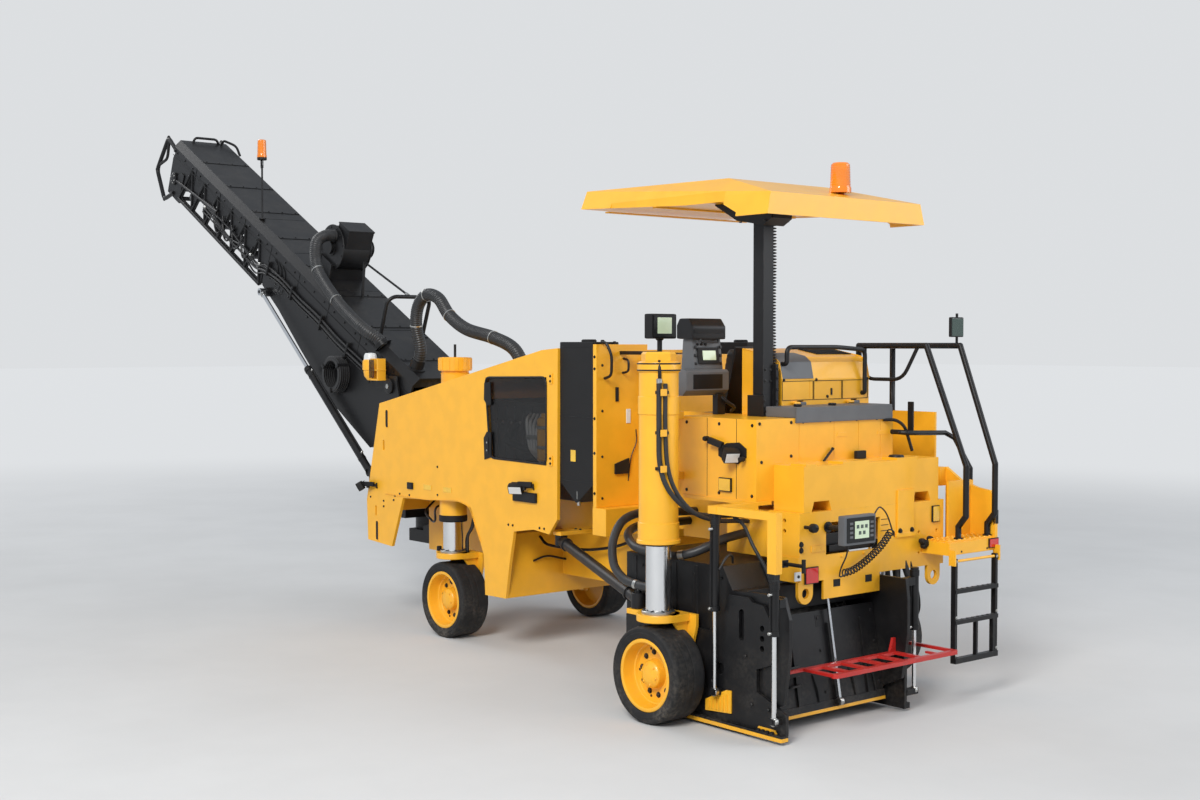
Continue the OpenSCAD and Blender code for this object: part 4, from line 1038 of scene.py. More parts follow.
def make_rear_panels():
    """Panel gaps, bolts, handle recesses and a bar over the beam on the rear body."""
    rear = Piece("rear_panel_fittings", "chassis")
    bolts(rear, [(-420, y, 2022) for y in (950, 640, 520, 240, -40, -260)]
          + [(-420, 640, 1790), (-420, 930, 1760)], BACK, BLACK, 9)
    bolts(rear, [(x, SIDE, z) for x in (-380, 270, -60) for z in (1530, 2010)], LEFT, BLACK, 9)
    for y in (120, -320):
        rear.prism("yz", [(y - 60, 1905), (y + 60, 1905), (y + 45, 1935), (y - 45, 1935)], -424, -419,
                   YELLOW, 2)
    for x in (-230, 60):
        rear.block((x - 2, 979.5, 1500), (x + 2, 981, 2048), MATTE, 0.3)
    rear.tube([(-440, 330, 1740), (-440, 240, 1820)], 9, BLACK, 8)
    rear.turned(disc(12, -6, 6), (-440, 236, 1824), (0, -0.6, 0.8), BLACK, 10)
    rear.block((-470, -90, 1741), (-440, 10, 1800), MATTE, 6)
    rear.tube(rounded([(-425, -330, 2010), (-470, -420, 2010), (-500, -480, 1960), (-520, -540, 1780)], 50),
              12, BLACK, 10)
    rear.done("black_plastic")


make_rear_fittings()
make_rear_lever_work()
make_rear_panels()


# Operator's place
def make_console():
    """The grey pod with its display, the covered gauge cluster, the monitor and the slab with its cover."""
    pod = Piece("console_pod", "chassis")
    pod.prism("xz", [(300, 2230), (340, 2191), (520, 2191), (520, 2379), (320, 2379), (300, 2360)], 531, 959,
              GREY, 18)
    pod.prism("xz", [(298, 2240), (303, 2240), (303, 2345), (298, 2345)], 600, 890, BLACK, 2)
    pod.block((311, 562, 2051), (364, 638, 2200), BLACK, 4)
    pod.tube(swept([(330, 600, 2190), (290, 560, 2140), (300, 480, 2100), (360, 450, 2070)], 20), 13,
             BLACK, 10)
    pod.prism("xz", [(395, 2376), (540, 2376), (520, 2600), (425, 2600)], 501, 789, GREY, 12)
    pod.slab((402, 645, 2478), (-1, 0, 0.14), (10, 210, 120), MATTE, 5, up=(0.14, 0, 1))
    pod.slab((397, 640, 2480), (-1, 0, 0.14), (6, 130, 70), DISPLAY, 2, up=(0.14, 0, 1))
    for y in (520, 770):
        for z in (2420, 2480, 2540):
            pod.slab((404, y, z), (-1, 0, 0.14), (10, 22, 22), BLACK, 4, up=(0.14, 0, 1))
    pod.prism("xz", [(387, 2596), (558, 2600), (558, 2699), (529, 2749), (431, 2749), (387, 2690)], 482, 818,
              BLACK, 16)
    pod.prism("xz", [(384, 2640), (390, 2640), (390, 2670), (384, 2670)], 500, 800, MATTE, 2)
    pod.tube(rounded([(395, 560, 2600), (385, 560, 2575), (385, 730, 2575), (395, 730, 2600)], 12), 7,
             BLACK, 8)
    pod.block((791, 601, 2602), (879, 849, 2788), MATTE, 14)
    pod.block((783, 616, 2616), (792, 834, 2774), BLACK, 4)
    pod.block((780, 660, 2640), (785, 800, 2760), DISPLAY, 2)
    pod.block((841, 701, 2481), (869, 729, 2614), BLACK, 4)
    pod.block((841, 701, 2481), (1303, 729, 2509), BLACK, 4)
    pod.turned(disc(24, -26, 26, 4, 10), (855, 715, 2610), LEFT, BLACK, 16)
    pod.prism("xz", [(560, 2376), (760, 2376), (800, 2440), (780, 2560), (560, 2560)], 501, 520, GREY, 6)
    for y in (660, 700, 740):
        pod.turned([(0, 0), (10, 0), (11, 12), (0, 16)], (425, y, 2560), (-1, 0, 0.1), BLACK, 12)
    pod.block((-419, -416, 2051), (-136, 602, 2124), GREY, 10)
    pod.block((-435, -416, 2016), (-421, 602, 2124), GREY, 4)
    pod.prism("xz", [(-420, 2112), (-436, 2100), (-436, 2020), (-432, 2020), (-430, 2096), (-418, 2108)],
              -417, 603, GREY, 1)
    for y in (-380, 200):
        pod.tube([(-145, y, 2137), (-145, y + 60, 2137)], 10, GREY, 16)
        pod.tube([(-145, y + 40, 2137), (-145, y + 115, 2137)], 5, ZINC, 10)
        pod.block((-155, y, 2123), (-136, y + 60, 2136), GREY, 2)
    pod.done("grey_paint", "console")


def apply_modifiers(made):
    """Makes the shape that the modifiers give the object's own mesh."""
    shape = made.evaluated_get(bpy.context.evaluated_depsgraph_get())
    data = bpy.data.meshes.new_from_object(shape)
    made.modifiers.clear()
    old, made.data = made.data, data
    bpy.data.meshes.remove(old)


CELL, SWELL, CLOTH_FRAMES = 0.012, 0.016, 16  # metres for the first two


def sewn_cushion(name, outline, centre, turn, depth):
    """A cushion: a rounded outline with a thickness, remeshed, then swollen by a cloth run up to a limit."""
    shell = bmesh.new()
    rim = rounded([Vector((a, b, 0)) for a, b in outline + outline[:2]], 45, 4)[1:-1]
    top, bottom = [[shell.verts.new((p.x, p.y, side * depth / 2)) for p in rim] for side in (1, -1)]
    shell.faces.new(top)
    shell.faces.new(bottom)
    for k in range(len(rim)):
        shell.faces.new((top[k - 1], top[k], bottom[k], bottom[k - 1]))
    bmesh.ops.remove_doubles(shell, verts=shell.verts[:], dist=0.5)
    bmesh.ops.recalc_face_normals(shell, faces=shell.faces)
    for v in shell.verts:
        v.co = spot(*(Vector(centre) + turn @ v.co))
    data = bpy.data.meshes.new(name)
    shell.to_mesh(data)
    shell.free()
    data.materials.append(VINYL)
    made = bpy.data.objects.new(name, data)
    bpy.context.scene.collection.objects.link(made)
    cells = made.modifiers.new("even_cells", "REMESH")
    cells.mode, cells.voxel_size = "VOXEL", CELL
    made.modifiers.new("even_skin", "SMOOTH").iterations = 2
    apply_modifiers(made)
    still = [v.co.copy() for v in made.data.vertices]
    cloth = made.modifiers.new("swell", "CLOTH")
    cloth.settings.use_pressure, cloth.settings.uniform_pressure_force = True, 4
    cloth.settings.effector_weights.gravity = 0
    cloth.point_cache.frame_start, cloth.point_cache.frame_end = 1, CLOTH_FRAMES
    for frame_number in range(1, CLOTH_FRAMES + 1):
        bpy.context.scene.frame_set(frame_number)
    apply_modifiers(made)
    bpy.context.scene.frame_set(1)
    for v, place in zip(made.data.vertices, still):
        move = v.co - place
        if move.length > SWELL:
            v.co = place + move.normalized() * SWELL
    for f in made.data.polygons:
        f.use_smooth = True
    made.modifiers.new("fine_skin", "SUBSURF").levels = 1
    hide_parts("seat")
    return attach(made, "chassis")


def make_seat():
    """A suspension seat: bellows, pan, back shell, and two sewn cushions with a welt."""
    base = Piece("seat_base", "chassis")
    floor_centre = (820, 190, 1616)
    base.turned([(0, 0), (129, 0), (129, 20), (110, 30), (110, 40)], floor_centre, UP, BLACK, 32)
    bellows = [(0, 40)] + [(112 + 12 * (k % 2), 44 + 18 * k) for k in range(13)] + [(0, 262)]
    base.turned(bellows, floor_centre, UP, MATTE, 32)
    base.block((600, 20, 1885), (1000, 360, 1912), BLACK, 10)
    base.slab((505, 190, 2270), (-0.26, 0, 0.97), (560, 300, 26), BLACK, 10, up=(0.97, 0, 0.26))
    for y in (30, 350):
        base.tube([(600, y, 1900), (560, y, 1980), (520, y, 2120)], 14, BLACK, 10)
    welt = [(620, 20, 2026), (985, 20, 2026), (985, 360, 2026), (620, 360, 2026), (620, 20, 2026),
            (700, 20, 2026)]
    base.tube(rounded(welt, 50)[6:-2], 4, VINYL, 6)
    base.done("seat_vinyl", "seat")
    lean = Matrix(((-0.26, 0, 0.97), (0, 1, 0), (0.97, 0, 0.26))).transposed()
    sewn_cushion("seat_cushion", [(-185, -165), (185, -165), (185, 165), (-185, 165)], (805, 190, 1975),
                 Matrix.Identity(3), 92)
    sewn_cushion("seat_back_cushion", [(-250, -160), (240, -135), (240, 135), (-250, 160)], (555, 190, 2300),
                 lean, 78)


def make_mast_details():
    """Bolts up the mast, the canopy bracket, the lamp socket, and the two coiled cables."""
    mast = Piece("mast_fittings", "chassis")
    places = [(-135, y, z) for y in (482, 607) for z in (2090, 2160)]
    places += [(-135, 482, z) for z in (2240, 2320, 2390)]
    places += [(-105, y, z) for y in (520, 570) for z in (2300, 2380)]
    bolts(mast, places, BACK, BLACK, 9)
    mast.tube([(-108, 470, 2040), (-108, 470, 2100)], 12, BLACK, 10)
    mast.block((-240, 452, 3440), (-226, 638, 3500), BLACK, 4)
    bolts(mast, [(x, y, 3430) for x in (-180, 60) for y in (430, 660)], DOWN, BLACK, 10)
    mast.slab((-200, -100, 3640), DOWN, (40, 40, 40), MATTE, 6)
    mast.done("black_plastic")
    cable = [(-60, 452, 2080), (-62, 450, 2400), (-60, 452, 2800), (-62, 450, 3150), (-60, 452, 3440)]
    hung("mast_coil_cable", "chassis", curl(cable, 19, 62), 4.5, HOSE, sides=6)
    coil = [(-750, 470, 1000), (-762, 380, 1015), (-768, 240, 1075), (-765, 90, 1160), (-752, -30, 1250)]
    turns = curl(coil, 22, 21, 16)
    enter = turns[0] + (turns[0] - turns[1]).normalized() * 40
    leave = turns[-1] + (turns[-1] - turns[-2]).normalized() * 40
    lead = swept([(-945, 640, 1228), (-930, 646, 1150), (-870, 630, 1060), (-800, 560, 990), enter,
                  turns[0]], 30)
    back = swept([turns[-1], leave, (-790, 60, 1370), (-850, 200, 1440), (-925, 330, 1440),
                  (-960, 418, 1390)], 30)
    hung("control_box_coil_cable", "chassis", lead[:-1] + turns + back[1:], 5.5, HOSE, sides=7)


def make_canopy_inside():
    """Ribs, a lining panel, the mast's plate and bolts under the canopy."""
    roof = Piece("canopy_ribs_and_seams", "chassis")
    for x in (250, 800, 1350):
        roof.block((x, -700, 3567), (x + 40, 800, 3579), YELLOW, 3)
    roof.block((-300, -640, 3566), (180, 740, 3578), YELLOW, 3)
    roof.block((-380, 440, 3560), (330, 650, 3582), BLACK, 4)
    bolts(roof, [(x, y, 3566) for x in (-260, 140) for y in (-600, 0, 400, 700)], DOWN, BLACK, 9)
    roof.done("yellow_paint")


def make_beacon(name, body, centre, radius, height, replaced):
    """A rotating beacon: a foot and a ribbed dome, both amber."""
    lamp = Piece(name, body)
    lamp.turned([(0, 0), (radius, 0), (radius, radius * 0.35), (radius * 0.97, radius * 0.5),
                 (0, radius * 0.5)], centre, UP, AMBER, 40)
    low, top, steps = radius * 0.5, height, 9
    lens = [(radius * 0.94, low)]
    for k in range(steps):
        z = low + (top - radius * 0.25 - low) * (k + 0.5) / steps
        lens += [(radius * (0.94 - 0.06 * k / steps), z - 3), (radius * (0.91 - 0.06 * k / steps), z)]
    lens += [(radius * 0.86, top - radius * 0.2), (radius * 0.7, top - 2), (0, top)]
    lamp.turned(lens, centre, UP, AMBER, 40)
    lamp.done("amber_lens", *replaced)


def make_hood_details():
    """A grey corner cover, lid outlines, a latch, louvres, edge strips and the rail over the engine hood."""
    hood = Piece("hood_fittings", "hood")
    cover = [(-126, 2314), (-101, 2434), (-43, 2477), (70, 2499), (70, 2486), (-40, 2462), (-90, 2424),
             (-112, 2314)]
    hood.prism("xz", cover, 95, 421, GREY, 3)
    for low, high in ((95, 415), (-215, 85), (-505, -225)):
        outline = [(-121.5, low, 2160), (-121.5, high, 2160), (-121.5, high, 2296), (-121.5, low, 2296)]
        for a, b in zip(outline, outline[1:] + outline[:1]):
            hood.tube([a, b], 2.2, MATTE, 5)
    bolts(hood, [(-121, y, z) for y, z in ((400, 2304), (60, 2304), (-500, 2304), (-60, 2180))], BACK,
          BLACK, 9)
    hood.block((-126, -110, 2190), (-120, -95, 2240), BLACK, 2)
    for k in range(9):
        x = 40 + 22 * k
        hood.block((x, -500, 2486 + 4.1 * k), (x + 12, -120, 2494 + 4.1 * k), MATTE, 1)
    for y in (-520, 419):
        hood.tube([(-122, y, 2310), (-96, y, 2431), (-41, y, 2471), (270, y, 2528)], 5, YELLOW, 8)
    hood.tube(rounded([(-112, -440, 2200), (-150, -440, 2200), (-150, -440, 2520), (-150, -130, 2540),
                       (-150, 400, 2540), (-150, 400, 2420), (-92, 400, 2420)], 50), 17, BLACK, 12)
    hood.done("yellow_paint")


make_console()
make_hood_details()
make_seat()
make_mast_details()
make_canopy_inside()
make_beacon("canopy_beacon", "chassis", (-200, -100, 3660.3), 80, 219, ("beacons",))


# Steps, ladder and rails
def make_access():
    """Tread studs, bolts and rail feet on the steps, a bent rail and bracket, and studs on the rungs."""
    step = Piece("step_fittings", "chassis")
    for x in (-930, -880, -830, -780):
        for k in range(9):
            step.turned([(9, 0), (12, 0), (9, 6)], (x + 10, -930 + 58 * k, 1160), UP, YELLOW, 10)
    step.block((-954, -985, 1062), (-948, -425, 1148), YELLOW, 2)
    bolts(step, [(-951, y, 1080) for y in (-470, -560, -860)], BACK, BLACK, 8)
    for y in (-940, -600):
        step.turned([(18, 0), (34, 0), (34, 8), (18, 10)], (-895, y, 1162), UP, BLACK, 20)
    step.prism("xz", [(-952, 1250), (-930, 1230), (-930, 1330), (-952, 1350)], -999, -960, MATTE, 4)
    step.tube(rounded([(-60, -545, 2540), (-60, -545, 2300), (-420, -545, 2300), (-560, -545, 2540)], 90),
              14, BLACK, 12)
    step.block((-520, -560, 1905), (-470, -545, 2140), BLACK, 8)
    step.done("black_paint")
    ladder = Piece("ladder_grips", "ladder")
    for z in (600, 820):
        for k in range(8):
            ladder.turned([(8, 0), (11, 0), (8, 5)], (-980, -900 + 60 * k, z), UP, BLACK, 8)
    for y in (-940, -470):
        for z in (330, 600, 1000):
            ladder.bolt((-992, y + 12, z + 20), BACK, ZINC, 8)
    ladder.block((-998, -905, 330), (-964, -880, 575), BLACK, 4)
    ladder.done("black_paint")


def make_guard():
    """The red guard behind the drum box, of flat bars with rounded corners and bolted ends."""
    guard = Piece("rear_guard_frame", "chassis")
    guard.prism("xy", [(-1125, -300), (-1105, -320), (-1085, -320), (-1085, 960), (-1105, 960),
                       (-1125, 940)], 400, 430, RED, 4)
    guard.block((-878, 31, 406), (-830, 960, 428), RED, 6)
    for y in (40, 225, 410, 595, 780, 935):
        guard.block((-1090, y - 8, 407), (-850, y + 32, 427), RED, 6)
    guard.block((-1090, -320, 406), (-561, -296, 429), RED, 4)
    guard.block((-1090, -150, 409), (-980, -125, 425), RED, 3)
    guard.block((-850, 940, 406), (-820, 1234, 427), RED, 4)
    guard.prism("yz", [(1200, 428), (1234, 428), (1234, 520), (1215, 520), (1180, 428)], -850, -820, RED, 3)
    guard.prism("yz", [(31, 428), (90, 428), (60, 520), (31, 520)], -850, -830, RED, 3)
    bolts(guard, [(-835, 1190, 428), (-835, 1100, 428)], UP, BLACK, 10)
    guard.done("red_paint", "rear_guard")


make_access()
make_guard()


# Drum and drum box
def make_drum():
    """The milling drum: bright shell with its spiral of block holders and carbide tipped picks."""
    drum = Piece("drum_with_picks", "drum")
    centre = (-80, 0, 540)
    drum.turned([(0, 3), (79, 3), (79, 44), (150, 45), (360, 46), (369, 52), (369, 1213), (360, 1219),
                 (79, 1220), (79, 1262), (0, 1262)], centre, LEFT, STEEL, 64)
    for i in range(36):
        a = math.radians(i * 50 + 4)
        out, y = Vector((math.sin(a + math.pi / 2), 0, math.cos(a + math.pi / 2))), 66 + 32.4 * i
        ahead = Vector((out.z, 0, -out.x))
        foot = Vector(centre) + Vector((0, y, 0)) + out * 365
        drum.slab(foot + out * 28, (out + ahead * 0.25), (66, 40, 50), STEEL, 8, up=LEFT)
        drum.turned([(24, 0), (26, 6), (26, 30), (17, 38), (16, 60), (9, 84), (4, 96), (0, 98)],
                    foot + out * 26, out + ahead * 0.12, STEEL, 14)
        drum.turned([(0, 0), (9, 0), (8, 8), (3, 18), (0, 19)], foot + out * 104, out + ahead * 0.12, TIP, 12)
    drum.done("worn_steel", "milling_drum")


def make_drum_box_details():
    """Bolts and ribs of the drum box, bands, ports and pipes of its cylinders, and its hoses."""
    box = Piece("drum_box_fittings", "chassis")
    bolts(box, [(x, 1265, z) for x in (-380, -120, 150, 420) for z in (700, 1000)], LEFT, BLACK, 10)
    for z in (300, 880):
        bolts(box, [(-560, y, z) for y in (80, 1190)], BACK, BLACK, 10)
    for x, y, low, top in ((-400, 1345, 790, 1430), (-945, 1345, 700, 1060), (-880, -130, 560, 1000)):
        for wide, tall, z in ((35, 36, low + 1), (34, 42, top - 60)):
            box.turned(sleeve(30, wide, 0, tall, 2), (x, y, z), UP, BLACK, 24)
        for z in (low + 22, top - 90):
            box.turned(knob(11, 8, 26, 30), (x, y + 27, z), LEFT, ZINC, 12)
        box.tube([(x, y + 40, low + 30), (x, y + 40, top - 90)], 6, BLACK, 8)
    for y in (350, 900):
        box.prism("xz", [(-560, 930), (-475, 935), (-395, 1075), (-405, 1079), (-485, 945), (-560, 940)], y,
                  y + 14, BLACK, 2)
    box.done("black_paint")
    hoses = Piece("drum_box_hoses", "chassis")
    runs = [([(-668, -120, 1110), (-652, -100, 1020), (-660, -110, 880), (-640, -160, 780),
              (-608, -274, 690)], 22, HOSE), ([(-668, -180, 1110), (-652, -190, 1000), (-666, -200, 860),
                                               (-650, -240, 760), (-610, -280, 640)], 22, HOSE),
            ([(-668, -240, 1110), (-680, -262, 990), (-704, -295, 860), (-694, -325, 740), (-645, -340, 655),
              (-586, -338, 600)], 24, HOSE), ([(-668, -60, 1110), (-674, -40, 1000), (-660, -50, 900),
                                               (-640, -16, 800)], 14, WHITE),
            ([(-668, -300, 1100), (-708, -322, 930), (-742, -348, 760), (-730, -362, 640), (-664, -356, 560),
              (-586, -334, 530)], 10, BLACK), ([(-370, 1150, 1092), (-395, 1180, 1140), (-430, 1240, 1158),
                                                (-448, 1300, 1135), (-434, 1338, 1070)], 8, HOSE),
            ([(-560, 1330, 1430), (-620, 1300, 1380), (-700, 1290, 1250), (-820, 1300, 1120),
              (-900, 1330, 1030)], 12, BLACK)]
    for k, (path, radius, skin) in enumerate(runs):
        hung(f"drum_box_hose_{k + 1}", "chassis", swept(path, 40), radius, skin, sides=12)
    for y, z in ((-100, 1010), (-190, 985)):
        hoses.turned(sleeve(22, 28, -18, 18, 2), (-650, y, z), UP, ZINC, 12)
    hoses.block((-680, -300, 640), (-560, -180, 700), BLACK, 8)
    hoses.done("hose_rubber")


def make_side_plates():
    """The sliding side plates: rods and their eyes, yellow skids, the left one's ribbed step, and bolts."""
    plate = Piece("left_plate_fittings", "left_plate")
    skid = [(-1002, 22), (-960, 4), (500, 4), (558, 22), (558, 46), (-1002, 46)]
    plate.prism("xz", [(x, max(z, 21)) for x, z in skid], 1271, 1336, YELLOW, 4)
    plate.prism("xz", [(-270, 100), (-516, 118), (-516, 270), (-470, 268), (-270, 175)], 1296.5, 1308,
                YELLOW, 3)
    for k in range(6):
        x = -300 - 34 * k
        plate.prism("xz", [(x, 122), (x - 14, 122), (x - 14, 176 + 13 * k), (x, 170 + 13 * k)], 1308, 1314,
                    YELLOW, 2)
    bolts(plate, [(-330, 1297, 300), (-700, 1297, 210), (-640, 1297, 520), (-120, 1297, 560),
                  (160, 1297, 560), (420, 1297, 560), (-850, 1297, 200)], LEFT, BLACK, 12)
    for x, z, radius in ((-400, 250, 14.4), (-945, 150, 16.4)):
        plate.turned(disc(30, -16, 16, 4, 4), (x, 1345, z), LEFT, ZINC, 24)
        plate.turned([(0, -24), (10, -24), (12, 0), (10, 24), (0, 24)], (x, 1345, z), LEFT, BLACK, 14)
        plate.tube([(x, 1345, z + 20), (x, 1345, z + 640)], radius, CHROME, 24)
    for x in (-900, -860, -820, -780):
        plate.turned(knob(15, 8, 10, 14), (x, 1318, 60), UP, BLACK, 12)
    plate.prism("xz", [(-930, 58), (-750, 58), (-765, 84), (-915, 84)], 1296, 1302, YELLOW, 2)
    plate.done("black_paint")
    right = Piece("right_plate_fittings", "right_plate")
    right.prism("xz", [(-898, 22), (558, 22), (558, 46), (-898, 46)], -68, -6, YELLOW, 4)
    right.turned(disc(28, -14, 14, 4, 4), (-880, -130, 135), LEFT, ZINC, 24)
    right.tube([(-880, -130, 155), (-880, -130, 670)], 14.4, CHROME, 24)
    bolts(right, [(x, -32, 560) for x in (-700, -300, 100, 450)], RIGHT, BLACK, 12)
    right.done("black_paint")


def make_door_details():
    """The rear door: lift rod and eye, ribs with rounded ends, bolts, a wear edge and blank plates."""
    tilt = math.radians(10)

    def on_door(x, y, z):
        return (-730 + x * math.cos(tilt) + z * math.sin(tilt), y,
                80 - x * math.sin(tilt) + z * math.cos(tilt))

    door = Piece("rear_door_fittings", "rear_door", place=on_door)
    door.tube([(-62, 530, 60), (-62, 530, 950)], 12.4, CHROME, 24)
    door.turned(disc(28, -16, 16, 4, 4), (-62, 530, 45), LEFT, ZINC, 24)
    door.turned(disc(10, -30, 30), (-62, 530, 45), LEFT, BLACK, 14)
    door.block((-40, 40, -8), (-22, 1225, 14), YELLOW, 3)
    for y in (120, 330, 700, 1080):
        door.tube(swept([(-30, y, 60), (-34, y + 10, 150), (-30, y + 34, 250)], 12), 6, BLACK, 8)
    bolts(door, [(-25, y, z) for y in (70, 620, 1195) for z in (120, 400, 620)], BACK, BLACK, 10)
    door.block((-27, 560, 560), (-24, 640, 640), MATTE, 2)
    door.block((-60, 880, 260), (-25, 1010, 330), BLACK, 8)
    door.tube(rounded([(-30, 900, 200), (-70, 900, 200), (-70, 1000, 200), (-30, 1000, 200)], 20), 9,
              BLACK, 8)
    door.done("black_paint")


make_drum()
make_drum_box_details()
make_side_plates()
make_door_details()


# Conveyor
def make_conveyor_sides():
    """Bolt rows, cover seams, edge strips, handle hoops and bearing hubs along the conveyor."""
    part = Piece("conveyor_fittings", "conveyor", place=on_boom)
    for sign in (1, -1):
        bolts(part, [(180 + 235 * k, sign * 361, 120) for k in range(24)], (0, sign, 0), BLACK, 10)
        bolts(part, [(420 + 470 * k, sign * 361, -180 if k < 6 else 60) for k in range(8)], (0, sign, 0),
              BLACK, 10)
        part.block((-290, sign * 361, 60), (5690, sign * 364, 68), MATTE, 1)
        for u in (765, 1470, 2175, 2880, 3585, 4290, 4995):
            part.block((u - 2, sign * 355, -60), (u + 2, sign * 362.5, 105), MATTE, 0.5)
        part.turned([(0, 0), (70, 0), (74, 6), (74, 30), (60, 38), (0, 38)], (5560, sign * 331, -200),
                    (0, sign, 0), BLACK, 28)
        bolts(part, [(5560 + a, sign * 369, b - 200) for a, b in around(6, 52)], (0, sign, 0), ZINC, 7)
        part.prism("xz", [(5330, -420), (5480, -420), (5480, -120), (5400, -60), (5330, -60)], sign * 331,
                   sign * 345, BLACK, 4)
        hoop = rounded([(5640, sign * 347, 128), (5932, sign * 347, 182), (6066, sign * 347, -296),
                        (5711, sign * 347, -540), (5500, sign * 347, -362)], 64, 7)
        part.tube(hoop, 25, BLACK, 16)
        part.tube(rounded([(5900, sign * 347, 170), (5850, sign * 347, -60), (6010, sign * 347, -200)], 60),
                  18, BLACK, 12)
    handles = ([(5670, 150, 240), (5676, 130, 305), (5676, -150, 305), (5670, -190, 240)],
               [(5660, -215, 240), (5655, -230, 310), (5500, -335, 310), (5360, -338, 240)])
    for path in handles:
        part.tube(rounded(path, 60), 15, BLACK, 12)
    for k in range(8):
        u = 60 + 705 * k
        part.block((u - 6, -290, 251), (u + 46, 290, 256), BLACK, 2)
        bolts(part, [(u + 20, y, 256) for y in (-250, -80, 90, 250)], UP, BLACK, 8)
    part.done("black_paint")


def make_lattice_details():
    """Idlers, diagonal tubes, hoses and the belt's tensioners inside the open part of the conveyor."""
    inside = Piece("lattice_fittings", "conveyor", place=on_boom)
    for k in range(6):
        u = 3120 + 400 * k
        inside.turned(disc(48, -300, 300, 4, 8), (u, 0, -250), LEFT, CAST, 20)
        inside.turned(disc(18, -304, 304), (u, 0, -250), LEFT, ZINC, 12)
    for sign in (1, -1):
        for k in range(6):
            u = 3040 + 385 * k
            inside.tube([(u, sign * 335, -360), (u + 190, sign * 335, 90)], 15, BLACK, 10)
            inside.tube([(u + 190, sign * 335, 90), (u + 385, sign * 335, -360)], 15, BLACK, 10)
        inside.tube([(3010, sign * 338, -372), (5345, sign * 338, -372)], 22, BLACK, 12)
        inside.tube([(4700, sign * 345, -120), (5500, sign * 345, -200)], 18, BLACK, 14)
        inside.tube([(4700, sign * 345, -120), (4300, sign * 345, -85)], 28, BLACK, 16)
    inside.done("black_paint")
    hoses = Piece("conveyor_hoses", "conveyor", place=on_boom)
    for k, (y, v, r) in enumerate(((368, -60, 13), (380, -95, 13), (372, -130, 10), (385, -30, 9))):
        line = [(260 + 30 * k, y - 40, v - 40), (420, y, v)]
        line += [(700 + 450 * i, y + 4 * math.sin(i + k), v - 14 * (i % 2) - 6 * k) for i in range(5)]
        line += [(2900, y - 10, v - 60), (3150, 352, v - 120 - 20 * k), (3500, 356, v - 40 * (k % 2) - 90),
                 (3900, 354, v - 150 + 20 * k), (4300, 356, v - 90), (4650, 350, v - 60 - 20 * k)]
        hoses.tube(swept(line, 90), r, HOSE if k % 2 else BLACK, 10)
    for u in (900, 1500, 2200, 2800):
        hoses.block((u, 358, -170), (u + 28, 398, -10), MATTE, 5)
    for k in range(4):
        u = 3300 + 260 * k
        hoses.tube(swept([(u, 352, -60), (u + 60, 362, -180 - 30 * k), (u + 160, 360, -260),
                          (u + 260, 356, -160), (u + 330, 350, -60)], 24), 12, BLACK, 10)
    for k in range(3):
        hoses.tube(swept([(2450 + 90 * k, 350, -250), (2440 + 90 * k, 366, -120), (2470 + 90 * k, 366, 0),
                          (2560 + 90 * k, 366, 60)], 16), 9, BLACK, 8)
    for u in (3060, 3300, 4600):
        hoses.turned(sleeve(13, 19, -20, 20, 4), (u, 356, -150), (1, 0, -0.3), ZINC, 12)
    hoses.done("hose_rubber")


def make_blower_details():
    """The blower's flanges and bolts, its inlet collar, finned motor, lid and two brackets."""
    fan = Piece("blower_fittings", "conveyor", place=on_boom)
    for y in (166, -166):
        fan.turned([(200, 0), (242, 0), (245, 3), (245, 9), (242, 12), (200, 12)], (2000, y - 6, 560), LEFT,
                   BLACK, 48, ring=True)
    bolts(fan, [(2000 + a, 172, 560 + b) for a, b in around(12, 215)], LEFT, BLACK, 8)
    fan.turned([(68.5, 0), (84, 0), (84, 10), (68.5, 12)], (2000, 172, 560), LEFT, BLACK, 32)
    fan.turned([(0, 0), (90, 0), (96, 8), (96, 120), (80, 132), (0, 132)], (2000, -171, 560), RIGHT,
               BLACK, 32)
    for k in range(5):
        fan.turned(sleeve(96, 103, 0, 8, 2), (2000, -190 - 22 * k, 560), RIGHT, BLACK, 32)
    fan.block((1776, -156, 838), (2014, 156, 854), BLACK, 4)
    fan.prism("xz", [(1840, 251), (1880, 251), (1900, 420), (1860, 420)], 200, 212, BLACK, 3)
    fan.prism("xz", [(2110, 251), (2150, 251), (2150, 420), (2120, 420)], 200, 212, BLACK, 3)
    fan.done("black_paint")


